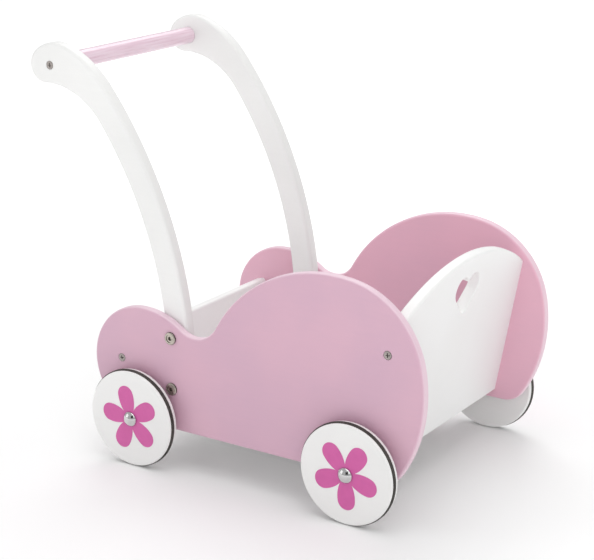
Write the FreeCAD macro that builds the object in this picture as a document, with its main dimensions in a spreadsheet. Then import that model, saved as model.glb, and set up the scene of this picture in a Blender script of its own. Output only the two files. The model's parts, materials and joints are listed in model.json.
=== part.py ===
"""Wooden doll pram: two curved side panels, a raised front board with a heart cut-out, a low
rear board, a hidden floor board, two bent handle arms with a round grip, and four flower wheels.

Lengths are millimetres. The side view is drawn with X forward from the rear axle and heights
from the axle line; every piece is then placed so that the origin lies on the floor, under the
middle of the pram. +X is forward, +Y is the pram's left side and +Z is up.
"""
import FreeCAD, Part
import math
import os
import Sketcher

Vector = FreeCAD.Vector
Rotation = FreeCAD.Rotation
START, END, CENTRE = 1, 2, 3
TOUCH = 0.01

SIZES = [
    ("wheelbase", 253.5, "rear axle to front axle"),
    ("body_width", 264.0, "over the outer faces of the side panels"),
    ("side_thickness", 10.0, "side panel board"),
    ("side_rounding", 3.0, "rounded edge of the side panels"),
    ("side_drop", 8.7, "side panel's lower edge below the axle line"),
    ("lobe_x", 3.4, "centre of the rear lobe"),
    ("lobe_radius", 61.0, "rear lobe"),
    ("shoulder_radius", 80.0, "from the lobe into the dip"),
    ("dip_x", 68.0, "lowest point of the dip"),
    ("dip_height", 93.0, "lowest point of the dip above the axle line"),
    ("dip_radius", 29.0, "dip between lobe and hood"),
    ("hood_setback", 20.6, "centre of the hood behind the front axle"),
    ("hood_height", 92.7, "centre of the hood above the axle line"),
    ("hood_radius", 91.0, "front half of the hood"),
    ("hood_back_radius", 150.0, "from the dip into the hood"),
    ("nose_radius", 147.5, "front edge under the hood"),
    ("nose_drop", 10.4, "centre of the nose below the centre of the hood"),
    ("toe_radius", 25.0, "front lower corner"),
    ("end_board_thickness", 12.0, "front and rear boards"),
    ("end_board_rounding", 3.0, "rounded upper edges of the front and rear boards"),
    ("end_board_rise", 1.8, "lower edges of the front and rear boards above the axle line"),
    ("front_lead", 17.5, "front board's outer face at its lower edge, ahead of the front axle"),
    ("front_tilt", 10.3, "front board's forward lean in degrees"),
    ("front_height", 183.5, "front board at its middle, along the slope"),
    ("crown_radius", 230.0, "front board's arched upper edge"),
    ("heart_lobe_radius", 12.5, "round lobes of the heart"),
    ("heart_lobe_spread", 11.0, "lobe centre to the middle of the heart"),
    ("heart_lobe_height", 151.0, "lobe centres above the board's lower edge"),
    ("heart_tip_height", 123.5, "heart's tip above the board's lower edge"),
    ("heart_tip_radius", 4.0, "rounded tip of the heart"),
    ("heart_rounding", 1.5, "rounded edge of the heart"),
    ("rear_screw_x", -22.9, "rear board's middle plane at its screws"),
    ("rear_screw_height", 55.8, "rear screws above the axle line"),
    ("rear_tilt", 12.0, "rear board's backward lean in degrees"),
    ("rear_height", 73.5, "rear board along its slope"),
    ("floor_thickness", 9.0, "floor board"),
    ("floor_lift", 2.0, "floor board's underside above the tops of the axles"),
    ("arm_front_x", 54.4, "front edge of the arms at their feet"),
    ("arm_width", 26.7, "arms at their feet"),
    ("arm_thickness", 14.3, "arms, across the pram"),
    ("arm_rounding", 3.5, "rounded edge of the arms"),
    ("arm_sweep_start", 50.0, "where the arms start to bend, above the axle line"),
    ("arm_sweep_end", 328.0, "where their front edge starts to bend more tightly"),
    ("arm_front_radius", 446.0, "front edge of the long bend"),
    ("arm_rear_radius", 410.0, "rear edge of the long bend"),
    ("arm_upper_radius", 114.0, "front edge above the long bend"),
    ("arm_shoulder_radius", 38.5, "shoulder in front of the grip"),
    ("arm_hollow_radius", 81.5, "hollow under the grip"),
    ("arm_head_x", -120.0, "centre of the rounded arm head"),
    ("arm_head_height", 342.6, "centre of the rounded arm head above the axle line"),
    ("arm_head_radius", 18.0, "rounded arm head"),
    ("grip_x", -111.2, "centre of the round grip"),
    ("grip_height", 343.5, "centre of the round grip above the axle line"),
    ("grip_radius", 9.0, "round grip"),
    ("bolt_x", 39.8, "arm bolts, rear axle to bolt centre"),
    ("lower_bolt_height", 34.8, "lower arm bolts above the axle line"),
    ("bolt_spacing", 53.3, "lower to upper arm bolt"),
    ("bolt_radius", 3.0, "arm bolt shank"),
    ("bolt_length", 19.0, "arm bolt under its head"),
    ("bolt_head_radius", 6.5, "flat bolt head"),
    ("bolt_head_thickness", 2.2, "flat bolt head"),
    ("bolt_head_bevel", 0.8, "bevelled rim of the bolt head"),
    ("socket_width", 4.0, "hexagon socket across its flats"),
    ("socket_depth", 1.7, "hexagon socket"),
    ("insert_radius", 4.75, "threaded insert in the arm"),
    ("insert_length", 11.0, "threaded insert in the arm"),
    ("screw_radius", 1.9, "countersunk screw shank"),
    ("screw_length", 38.0, "countersunk screw over all"),
    ("screw_head_radius", 4.1, "countersunk screw head"),
    ("screw_head_depth", 2.4, "countersunk screw head"),
    ("screw_rim", 0.4, "straight rim of the screw head"),
    ("screw_tip", 4.0, "pointed end of the screws"),
    ("cross_width", 1.0, "cross recess in the screw heads"),
    ("cross_span", 4.6, "cross recess from end to end"),
    ("cross_depth", 1.6, "cross recess"),
    ("front_screw_height", 118.0, "front screws, along the board's slope"),
    ("front_dowel_height", 30.0, "front locating dowels, along the board's slope"),
    ("rear_dowel_height", 17.0, "rear locating dowels, along the board's slope"),
    ("dowel_radius", 3.0, "wooden locating dowels"),
    ("dowel_length", 24.0, "wooden locating dowels"),
    ("dowel_bevel", 0.6, "bevelled dowel ends"),
    ("dowel_in_side", 7.0, "how far the dowels enter the side panels"),
    ("floor_dowel_inset", 55.0, "floor dowels from the ends of the floor board"),
    ("axle_radius", 4.0, "steel axle rods"),
    ("axle_bevel", 0.6, "bevelled axle ends"),
    ("running_clearance", 0.05, "all round each axle in its holes"),
    ("fit_clearance", 0.05, "round screws, bolts, inserts and dowels, and at the floor's ends"),
    ("wheel_radius", 50.0, "wooden wheel"),
    ("wheel_thickness", 11.0, "wooden wheel"),
    ("wheel_gap", 6.5, "wheel's inner face from the side panel"),
    ("wheel_rounding", 1.6, "rounded rim of the wheel's outer face"),
    ("wheel_back_bevel", 1.0, "bevel round the wheel's inner face"),
    ("tyre_proud", 1.0, "rubber ring beyond the wheel's rim"),
    ("tyre_width", 4.0, "rubber ring and its groove"),
    ("tyre_depth", 3.5, "rubber ring, from its inside to its tread"),
    ("tyre_inset", 2.2, "groove's outer wall from the wheel's outer face"),
    ("tyre_rounding", 0.8, "rounded tread edges"),
    ("spacer_radius", 8.0, "spacer washer between wheel and side panel"),
    ("spacer_play", 0.2, "play on each side of the spacer washer"),
    ("flower_thickness", 0.3, "printed flower film"),
    ("flower_radius", 34.8, "tips of the petals"),
    ("petal_end_radius", 9.4, "round end of a petal"),
    ("petal_side_radius", 32.0, "long sides of a petal, which meet at the wheel's centre"),
    ("cap_radius", 7.85, "domed hub cap"),
    ("cap_height", 5.2, "domed hub cap"),
    ("cap_wall", 0.7, "hub cap sheet"),
    ("cap_rim", 1.0, "straight rim of the hub cap"),
    ("cap_play", 0.2, "hub cap from the flower film"),
    ("cap_grip", 2.0, "how far the axle stands inside the hub cap"),
]

# Height of each flower's first petal at rest, in degrees up from straight forward.
FLOWER_TURNS = {
    ("rear", "right"): 30.3,
    ("front", "right"): 56.8,
    ("rear", "left"): 12.0,
    ("front", "left"): 41.0,
}

doc = FreeCAD.newDocument("doll_pram")
sheet = doc.addObject("Spreadsheet::Sheet", "sizes")
for row, (name, value, note) in enumerate(SIZES, start=1):
    sheet.set(f"A{row}", name)
    sheet.set(f"B{row}", str(value))
    sheet.setAlias(f"B{row}", name)
    sheet.set(f"C{row}", note)
doc.recompute()


class Dim:
    """A length worked out from the sheet: its value now, and the expression that keeps it so."""

    def __init__(self, value, words):
        self.value, self.words = value, words

    def joined(self, other, sign, value, swapped=False):
        """This and another length or number joined by an arithmetic sign."""
        first, second = self.words, other.words if isinstance(other, Dim) else repr(other)
        if swapped:
            first, second = second, first
        return Dim(value, f"({first} {sign} {second})")

    def __float__(self):
        return self.value

    def __add__(self, other):
        return self.joined(other, "+", self.value + float(other))

    def __radd__(self, other):
        return self.joined(other, "+", self.value + float(other), swapped=True)

    def __sub__(self, other):
        return self.joined(other, "-", self.value - float(other))

    def __rsub__(self, other):
        return self.joined(other, "-", float(other) - self.value, swapped=True)

    def __mul__(self, other):
        return self.joined(other, "*", self.value * float(other))

    def __rmul__(self, other):
        return self.joined(other, "*", self.value * float(other), swapped=True)

    def __truediv__(self, other):
        return self.joined(other, "/", self.value / float(other))

    def __neg__(self):
        return Dim(-self.value, f"(-1 * {self.words})")


def root(length):
    """Square root of a squared length."""
    return Dim(math.sqrt(length.value), f"sqrt({length.words})")


def sine(tilt):
    """Sine of a tilt in degrees."""
    return Dim(math.sin(math.radians(tilt.value)), f"sin({tilt.words} * 1 deg)")


def cosine(tilt):
    """Cosine of a tilt in degrees."""
    return Dim(math.cos(math.radians(tilt.value)), f"cos({tilt.words} * 1 deg)")


def tangent(tilt):
    """Tangent of a tilt in degrees."""
    return Dim(math.tan(math.radians(tilt.value)), f"tan({tilt.words} * 1 deg)")


class Sheet:
    """The sheet's values by name, each as a Dim."""

    def __getattr__(self, name):
        return Dim(float(sheet.get(name)), f"sizes.{name}")


s = Sheet()
SIDES = {"left": 1, "right": -1}
AXLES = {"rear": 0.0, "front": float(s.wheelbase)}

# ---------------------------------------------------------------- places shared between pieces
# In the side view, x runs forward from the rear axle and heights run up from the axle line.
half_body = s.body_width / 2
half_inside = half_body - s.side_thickness
arm_inside = half_inside - s.arm_thickness
axle_height = s.wheel_radius + s.tyre_proud
lobe = (s.lobe_x, s.lobe_radius - s.side_drop)
dip = (s.dip_x, s.dip_height + s.dip_radius)
hood = (s.wheelbase - s.hood_setback, s.hood_height)
nose_reach = root((s.nose_radius - s.hood_radius) * (s.nose_radius - s.hood_radius)
                  - s.nose_drop * s.nose_drop)
nose = (hood[0] - nose_reach, s.hood_height - s.nose_drop)
arm_head = (s.arm_head_x, s.arm_head_height)
middle_x = (nose[0] + s.nose_radius + arm_head[0] - s.arm_head_radius) / 2
grip_centre = (s.grip_x, s.grip_height)
bolt_centres = [(s.bolt_x, s.lower_bolt_height),
                (s.bolt_x, s.lower_bolt_height + s.bolt_spacing)]
floor_under = s.axle_radius + s.floor_lift
floor_top = floor_under + s.floor_thickness
front_base_x = s.wheelbase + s.front_lead
rear_base_x = s.rear_screw_x + (s.rear_screw_height - s.end_board_rise) * tangent(s.rear_tilt)
rear_screw_along = (s.rear_screw_height - s.end_board_rise) / cosine(s.rear_tilt)
hub_out = half_body + s.wheel_gap
cap_out = hub_out + s.wheel_thickness + s.flower_thickness + s.cap_play


def on_front_board(along):
    """Side-view point in the front board's middle plane, along its slope from the lower edge."""
    across = s.end_board_thickness / 2
    x = front_base_x + along * sine(s.front_tilt) - across * cosine(s.front_tilt)
    return x, s.end_board_rise + along * cosine(s.front_tilt) + across * sine(s.front_tilt)


def on_rear_board(along):
    """Side-view point in the rear board's middle plane, along its slope from the lower edge."""
    return (rear_base_x - along * sine(s.rear_tilt),
            s.end_board_rise + along * cosine(s.rear_tilt))


def inside_front(height):
    """Where the front board's inner face stands at a height."""
    lean = tangent(s.front_tilt) * (height - s.end_board_rise)
    return front_base_x + lean - s.end_board_thickness / cosine(s.front_tilt)


def inside_rear(height):
    """Where the rear board's inner face stands at a height."""
    lean = tangent(s.rear_tilt) * (height - s.end_board_rise)
    return rear_base_x - lean + s.end_board_thickness / 2 / cosine(s.rear_tilt)


floor_middle = (floor_under + floor_top) / 2
front_screw = on_front_board(s.front_screw_height)
rear_screw = on_rear_board(rear_screw_along)
front_dowel = on_front_board(s.front_dowel_height)
rear_dowel = on_rear_board(s.rear_dowel_height)
floor_dowels = [(inside_rear(floor_middle) + s.floor_dowel_inset, floor_middle),
                (inside_front(floor_middle) - s.floor_dowel_inset, floor_middle)]


def place(x, y, height, rotation=None):
    """Placement in the pram's own frame of a side-view point at a distance y across."""
    spot = Vector(float(x) - middle_x.value, float(y), float(height) + axle_height.value)
    return FreeCAD.Placement(spot, rotation or Rotation())


def facing(side):
    """Rotation that points a turned piece's +Y end outwards on this side."""
    return Rotation(Vector(0, 0, 1), 0 if side == "left" else 180)


# ---------------------------------------------------------------- modelling helpers
NODES = []


def keep(piece, label, placement=None):
    """Name a finished sub-part, place it and list it for export."""
    piece.Label = label
    if placement is not None:
        piece.Placement = placement
    NODES.append(piece)
    return piece


def bind(feature, **lengths):
    """Tie properties of a feature to lengths worked out from the sheet."""
    for prop, length in lengths.items():
        feature.setExpression(prop, length.words)


def new_body(name):
    """An empty PartDesign body."""
    return doc.addObject("PartDesign::Body", name)


def sketch_on(body, role, name, shift=None):
    """A sketch on one of the body's own origin planes, or shifted along that plane's normal."""
    sketch = body.newObject("Sketcher::SketchObject", name)
    plane = next(item for item in body.Origin.OriginFeatures if item.Role == role)
    sketch.AttachmentSupport = [(plane, "")]
    sketch.MapMode = "FlatFace"
    if shift is not None:
        sketch.setExpression("AttachmentOffset.Base.z", shift.words)
    return sketch


def limit(sketch, kind, *places, to):
    """Add a dimension to a sketch and bind it to a length worked out from the sheet."""
    index = sketch.addConstraint(Sketcher.Constraint(kind, *places, float(to)))
    sketch.setExpression(f"Constraints[{index}]", to.words)


def pin(sketch, index, point, x=None, y=None):
    """Fix a point of a sketch; a coordinate that is None lies on the axis."""
    for axis, line, to in (("X", -2, x), ("Y", -1, y)):
        if to is None:
            sketch.addConstraint(Sketcher.Constraint("PointOnObject", index, point, line))
        else:
            limit(sketch, "Distance" + axis, -1, START, index, point, to=to)


def ring(sketch, centre, radius):
    """A circle; a centre coordinate that is None lies on the axis."""
    x, y = centre
    spot = Vector(float(x or 0), float(y or 0), 0)
    index = sketch.addGeometry(Part.Circle(spot, Vector(0, 0, 1), float(radius)))
    limit(sketch, "Radius", index, to=radius)
    pin(sketch, index, CENTRE, x, y)


def polygon(sketch, points):
    """Straight lines through points whose coordinates are lengths, or None on an axis."""
    spots = [Vector(float(x or 0), float(y or 0), 0) for x, y in points]
    first = sketch.GeometryCount
    for start, end in zip(spots, spots[1:] + spots[:1]):
        sketch.addGeometry(Part.LineSegment(start, end))
    for step, (x, y) in enumerate(points):
        after = first + (step + 1) % len(points)
        sketch.addConstraint(Sketcher.Constraint("Coincident", first + step, END, after, START))
        pin(sketch, first + step, START, x, y)


def circles_meet(centre_a, radius_a, centre_b, radius_b, side):
    """The crossing of two circles that lies left (+1) or right (-1) of the line from a to b."""
    ax, ay, bx, by = (float(value) for value in (*centre_a, *centre_b))
    apart = math.hypot(bx - ax, by - ay)
    along = (float(radius_a) ** 2 - float(radius_b) ** 2 + apart ** 2) / (2 * apart)
    off = side * math.sqrt(float(radius_a) ** 2 - along ** 2)
    return (ax + (along * (bx - ax) - off * (by - ay)) / apart,
            ay + (along * (by - ay) + off * (bx - ax)) / apart)


def reach(centre, target, distance):
    """The point at a distance from centre in the direction of target."""
    ax, ay, bx, by = (float(value) for value in (*centre, *target))
    share = float(distance) / math.hypot(bx - ax, by - ay)
    return ax + (bx - ax) * share, ay + (by - ay) * share


def smooth_outline(sketch, pieces):
    """A closed outline of lines and arcs that run smoothly into each other.

    A piece is (start, end) for a line and (centre, start, end, turn) for an arc, where turn is
    +1 for an arc that turns left and -1 for one that turns right.
    """
    ends = []
    for piece in pieces:
        if len(piece) == 2:
            sketch.addGeometry(Part.LineSegment(*(Vector(*point, 0) for point in piece)))
            ends.append((START, END))
            continue
        centre, start, end, turn = piece
        x, y = (float(value) for value in centre)
        low, high = (start, end) if turn > 0 else (end, start)
        from_angle = math.atan2(low[1] - y, low[0] - x)
        to_angle = math.atan2(high[1] - y, high[0] - x)
        if to_angle < from_angle:
            to_angle += 2 * math.pi
        whole = Part.Circle(Vector(x, y, 0), Vector(0, 0, 1), math.hypot(low[0] - x, low[1] - y))
        sketch.addGeometry(Part.ArcOfCircle(whole, from_angle, to_angle))
        ends.append((START, END) if turn > 0 else (END, START))
    for index, (_, leave) in enumerate(ends):
        after = (index + 1) % len(ends)
        join = Sketcher.Constraint("Tangent", index, leave, after, ends[after][0])
        sketch.addConstraint(join)


def pad(body, sketch, name, length, both_ways=False, backwards=False):
    """Pad a sketch by a length."""
    feature = body.newObject("PartDesign::Pad", name)
    feature.Profile = sketch
    feature.Midplane = both_ways
    feature.Reversed = backwards
    bind(feature, Length=length)
    doc.recompute()
    return feature


def must_cut(body, feature, before):
    """Refuse a cut that takes nothing away."""
    doc.recompute()
    if body.Shape.Volume >= before:
        raise RuntimeError(f"{feature.Name} cuts nothing")
    return feature


def pocket(body, sketch, name, depth=None, backwards=False):
    """Cut a sketch out of a body to a depth, or right through."""
    before = body.Shape.Volume
    feature = body.newObject("PartDesign::Pocket", name)
    feature.Profile = sketch
    feature.Reversed = backwards
    if depth is None:
        feature.Type = "ThroughAll"
        feature.Midplane = True
    else:
        bind(feature, Length=depth)
    return must_cut(body, feature, before)


def drill(body, name, mouth, inward, radius, depth, narrow=None):
    """Drill across the pram from a mouth point; inward is +1 or -1 along Y, narrow ends a cone."""
    before = body.Shape.Volume
    if narrow is None:
        feature = body.newObject("PartDesign::SubtractiveCylinder", name)
        bind(feature, Radius=radius, Height=depth)
    else:
        feature = body.newObject("PartDesign::SubtractiveCone", name)
        bind(feature, Radius1=radius, Radius2=narrow, Height=depth)
    spot = Vector(*(float(value) for value in mouth))
    feature.Placement = FreeCAD.Placement(spot, Rotation(Vector(1, 0, 0), -90 * inward))
    return must_cut(body, feature, before)


def countersink(body, name, x, height, mouth, inward):
    """A flush seat for a screw head and a hole for its shank, from a mouth plane inwards."""
    seat = s.screw_head_radius + s.fit_clearance
    neck = s.screw_radius + s.fit_clearance
    drill(body, name + "_rim", (x, mouth, height), inward, seat, s.screw_rim)
    drill(body, name + "_cone", (x, mouth + inward * float(s.screw_rim), height), inward, seat,
          s.screw_head_depth - s.screw_rim, narrow=neck)
    drill(body, name + "_hole", (x, mouth, height), inward, neck, s.screw_length)


def round_edges(body, base, name, radius, wanted):
    """Fillet the edges of a feature that a test picks."""
    edges = [f"Edge{i}" for i, edge in enumerate(base.Shape.Edges, start=1) if wanted(edge)]
    if not edges:
        raise RuntimeError(f"{name} finds no edges")
    feature = body.newObject("PartDesign::Fillet", name)
    feature.Base = (base, edges)
    bind(feature, Radius=radius)
    doc.recompute()
    return feature


def in_plane(axis, *values):
    """A test for edges that lie in a plane where one coordinate has one of these values."""
    def test(edge):
        box = edge.BoundBox
        low, high = getattr(box, axis + "Min"), getattr(box, axis + "Max")
        return any(abs(low - float(v)) < TOUCH and abs(high - float(v)) < TOUCH for v in values)
    return test


def turned(name, points):
    """A body turned about its own Y axis from a half section of (radius, place) corners."""
    body = new_body(name)
    sketch = sketch_on(body, "XY_Plane", name + "_section")
    polygon(sketch, points)
    feature = body.newObject("PartDesign::Revolution", name + "_turn")
    feature.Profile = sketch
    feature.ReferenceAxis = (sketch, ["V_Axis"])
    feature.Angle = 360
    doc.recompute()
    return body


def group(label, maker, spots):
    """One node of identical loose pieces, each a copy of its own at one of the placements."""
    pieces = []
    for number, spot in enumerate(spots, start=1):
        piece = maker(f"{label}_{number}")
        piece.Placement = spot
        pieces.append(piece)
    gathered = doc.addObject("Part::Compound", label)
    gathered.Links = pieces
    keep(gathered, label)


# ---------------------------------------------------------------- the pieces
def side_panel(side):
    """Side panel: rear lobe, dip, tall hood, rounded toe; drilled for everything it carries."""
    body = new_body(side + "_side_panel")
    sketch = sketch_on(body, "XZ_Plane", "outline")
    shoulder_gap = s.shoulder_radius - s.lobe_radius
    shoulder = circles_meet(lobe, shoulder_gap, dip, s.shoulder_radius + s.dip_radius, -1)
    back_gap = s.hood_back_radius - s.hood_radius
    back = circles_meet(hood, back_gap, dip, s.hood_back_radius + s.dip_radius, +1)
    toe_height = s.toe_radius - s.side_drop
    toe_rise = float(toe_height - nose[1])
    toe_reach = math.sqrt(float(s.nose_radius - s.toe_radius) ** 2 - toe_rise ** 2)
    toe = (float(nose[0]) + toe_reach, float(toe_height))
    under_lobe = (float(lobe[0]), -float(s.side_drop))
    under_toe = (toe[0], -float(s.side_drop))
    nose_end = reach(nose, toe, s.nose_radius)
    hood_start = reach(nose, hood, s.nose_radius)
    hood_end = reach(back, hood, s.hood_back_radius)
    dip_start = reach(dip, back, s.dip_radius)
    dip_end = reach(dip, shoulder, s.dip_radius)
    lobe_start = reach(shoulder, lobe, s.shoulder_radius)
    smooth_outline(sketch, [
        (under_lobe, under_toe),
        (toe, under_toe, nose_end, 1),
        (nose, nose_end, hood_start, 1),
        (hood, hood_start, hood_end, 1),
        (back, hood_end, dip_start, 1),
        (dip, dip_start, dip_end, -1),
        (shoulder, dip_end, lobe_start, 1),
        (lobe, lobe_start, under_lobe, 1),
    ])
    sketch.addConstraint(Sketcher.Constraint("Horizontal", 0))
    limit(sketch, "DistanceY", -1, START, 0, START, to=-s.side_drop)
    radii = (s.toe_radius, s.nose_radius, s.hood_radius, s.hood_back_radius, s.dip_radius,
             s.shoulder_radius, s.lobe_radius)
    for index, radius in enumerate(radii, start=1):
        limit(sketch, "Radius", index, to=radius)
    limit(sketch, "DistanceX", -1, START, 7, CENTRE, to=lobe[0])
    pin(sketch, 5, CENTRE, *dip)
    pin(sketch, 3, CENTRE, *hood)
    limit(sketch, "DistanceY", -1, START, 2, CENTRE, to=nose[1])
    out = SIDES[side]
    board = pad(body, sketch, "board", s.side_thickness, backwards=out > 0)
    outer = out * float(s.side_thickness)
    round_edges(body, board, "rounding", s.side_rounding, in_plane("Y", 0, outer))
    holes = sketch_on(body, "XZ_Plane", "axle_and_bolt_holes")
    ring(holes, (None, None), s.axle_radius + s.running_clearance)
    ring(holes, (s.wheelbase, None), s.axle_radius + s.running_clearance)
    for centre in bolt_centres:
        ring(holes, centre, s.bolt_radius + s.fit_clearance)
    pocket(body, holes, "through_holes")
    for name, (x, height) in (("front_screw", front_screw), ("rear_screw", rear_screw)):
        countersink(body, name, x, height, outer, -out)
    dowels = [front_dowel, rear_dowel, *floor_dowels]
    for number, (x, height) in enumerate(dowels, start=1):
        drill(body, f"dowel_hole_{number}", (x, 0, height), out, s.dowel_radius + s.fit_clearance,
              s.dowel_in_side + s.fit_clearance)
    keep(body, body.Name, place(0, out * float(half_inside), 0))


def drill_ends(body, name, x, height, radius, depth):
    """The same blind hole in both ends of a board, along Y."""
    for side, out in SIDES.items():
        mouth = (x, out * float(half_inside), height)
        drill(body, f"{name}_{side}", mouth, -out, radius, depth)


def board_holes(body, x, screw_along, dowel_along):
    """Screw and dowel holes in the ends of a tilted board, x being its middle plane."""
    depth = s.screw_length - s.side_thickness + s.fit_clearance
    drill_ends(body, "screw_hole", x, screw_along, s.screw_radius + s.fit_clearance, depth)
    depth = s.dowel_length - s.dowel_in_side + s.fit_clearance
    drill_ends(body, "dowel_hole", x, dowel_along, s.dowel_radius + s.fit_clearance, depth)


def heart_outline(sketch):
    """A heart of two round lobes, with straight sides down to a rounded tip."""
    lobe_x, lobe_y = float(s.heart_lobe_spread), float(s.heart_lobe_height)
    radius, tip_radius = float(s.heart_lobe_radius), float(s.heart_tip_radius)
    tip_y = float(s.heart_tip_height) + tip_radius
    notch = lobe_y + math.sqrt(radius ** 2 - lobe_x ** 2)
    apart = math.hypot(lobe_x, lobe_y - tip_y)
    normal = (math.atan2(lobe_y - tip_y, lobe_x) - math.pi / 2
              - math.asin((radius - tip_radius) / apart))
    turn = (math.cos(normal), math.sin(normal))
    tip_touch = (tip_radius * turn[0], tip_y + tip_radius * turn[1])
    lobe_touch = (lobe_x + radius * turn[0], lobe_y + radius * turn[1])
    notch_angle = math.atan2(notch - lobe_y, -lobe_x)
    up = Vector(0, 0, 1)
    right_lobe = Part.Circle(Vector(lobe_x, lobe_y, 0), up, radius)
    left_lobe = Part.Circle(Vector(-lobe_x, lobe_y, 0), up, radius)
    tip = Part.Circle(Vector(0, tip_y, 0), up, tip_radius)
    left_lobe_touch = Vector(-lobe_touch[0], lobe_touch[1], 0)
    left_tip_touch = Vector(-tip_touch[0], tip_touch[1], 0)
    sketch.addGeometry(Part.LineSegment(Vector(*tip_touch, 0), Vector(*lobe_touch, 0)))
    sketch.addGeometry(Part.ArcOfCircle(right_lobe, normal, notch_angle))
    sketch.addGeometry(Part.ArcOfCircle(left_lobe, math.pi - notch_angle, math.pi - normal))
    sketch.addGeometry(Part.LineSegment(left_lobe_touch, left_tip_touch))
    sketch.addGeometry(Part.ArcOfCircle(tip, -math.pi - normal, normal))
    for args in (("Tangent", 0, END, 1, START), ("Coincident", 1, END, 2, START),
                 ("Tangent", 2, END, 3, START), ("Tangent", 3, END, 4, START),
                 ("Tangent", 4, END, 0, START)):
        sketch.addConstraint(Sketcher.Constraint(*args))
    for index, spread in ((1, s.heart_lobe_spread), (2, -s.heart_lobe_spread)):
        limit(sketch, "Radius", index, to=s.heart_lobe_radius)
        pin(sketch, index, CENTRE, spread, s.heart_lobe_height)
    limit(sketch, "Radius", 4, to=s.heart_tip_radius)
    pin(sketch, 4, CENTRE, None, s.heart_tip_height + s.heart_tip_radius)


def front_board():
    """Front board with an arched upper edge and a heart cut-out, leaning forward."""
    body = new_body("front_board")
    sketch = sketch_on(body, "YZ_Plane", "outline")
    crown = (0.0, float(s.front_height - s.crown_radius))
    half = float(half_inside)
    corner = crown[1] + math.sqrt(float(s.crown_radius) ** 2 - half ** 2)
    sweep = math.atan2(corner - crown[1], half)
    arch = Part.Circle(Vector(*crown, 0), Vector(0, 0, 1), float(s.crown_radius))
    sketch.addGeometry(Part.LineSegment(Vector(-half, 0, 0), Vector(half, 0, 0)))
    sketch.addGeometry(Part.LineSegment(Vector(half, 0, 0), Vector(half, corner, 0)))
    sketch.addGeometry(Part.ArcOfCircle(arch, sweep, math.pi - sweep))
    sketch.addGeometry(Part.LineSegment(Vector(-half, corner, 0), Vector(-half, 0, 0)))
    for index in range(4):
        join = Sketcher.Constraint("Coincident", index, END, (index + 1) % 4, START)
        sketch.addConstraint(join)
    sketch.addConstraint(Sketcher.Constraint("Vertical", 1))
    sketch.addConstraint(Sketcher.Constraint("Vertical", 3))
    pin(sketch, 0, START, -half_inside, None)
    pin(sketch, 0, END, half_inside, None)
    limit(sketch, "Radius", 2, to=s.crown_radius)
    pin(sketch, 2, CENTRE, None, s.front_height - s.crown_radius)
    board = pad(body, sketch, "board", s.end_board_thickness, backwards=True)
    faces = in_plane("X", 0, -s.end_board_thickness)
    round_edges(body, board, "crown_rounding", s.end_board_rounding,
                lambda edge: faces(edge) and edge.BoundBox.ZMax > corner + TOUCH)
    heart = sketch_on(body, "YZ_Plane", "heart")
    heart_outline(heart)
    cut = pocket(body, heart, "heart_cut")
    heart_half_width = float(s.heart_lobe_spread + s.heart_lobe_radius)
    heart_bottom = float(s.heart_tip_height)
    round_edges(body, cut, "heart_rounding", s.heart_rounding,
                lambda edge: faces(edge) and edge.BoundBox.ZMin > heart_bottom - TOUCH
                and edge.BoundBox.YMax < heart_half_width + TOUCH
                and edge.BoundBox.YMin > -heart_half_width - TOUCH)
    board_holes(body, -s.end_board_thickness / 2, s.front_screw_height, s.front_dowel_height)
    lean = Rotation(Vector(0, 1, 0), float(s.front_tilt))
    keep(body, body.Name, place(front_base_x, 0, s.end_board_rise, lean))


def rear_board():
    """Low rear board, leaning backward."""
    body = new_body("rear_board")
    sketch = sketch_on(body, "YZ_Plane", "outline")
    polygon(sketch, [(-half_inside, None), (half_inside, None),
                     (half_inside, s.rear_height), (-half_inside, s.rear_height)])
    board = pad(body, sketch, "board", s.end_board_thickness, both_ways=True)
    half = s.end_board_thickness / 2
    top = in_plane("Z", s.rear_height)
    faces = in_plane("X", half, -half)
    round_edges(body, board, "rounding", s.end_board_rounding,
                lambda edge: top(edge) and faces(edge))
    board_holes(body, 0, rear_screw_along, s.rear_dowel_height)
    lean = Rotation(Vector(0, 1, 0), -float(s.rear_tilt))
    keep(body, body.Name, place(rear_base_x, 0, s.end_board_rise, lean))


def floor_board():
    """Floor board between the end boards, its ends cut to their slopes."""
    body = new_body("floor_board")
    sketch = sketch_on(body, "XZ_Plane", "outline")
    gap = s.fit_clearance
    polygon(sketch, [(inside_rear(floor_under) + gap, floor_under),
                     (inside_front(floor_under) - gap, floor_under),
                     (inside_front(floor_top) - gap, floor_top),
                     (inside_rear(floor_top) + gap, floor_top)])
    pad(body, sketch, "board", 2 * half_inside, both_ways=True)
    for number, (x, height) in enumerate(floor_dowels, start=1):
        drill_ends(body, f"dowel_hole_{number}", x, height, s.dowel_radius + s.fit_clearance,
                   s.dowel_length - s.dowel_in_side + s.fit_clearance)
    keep(body, body.Name, place(0, 0, 0))


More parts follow.
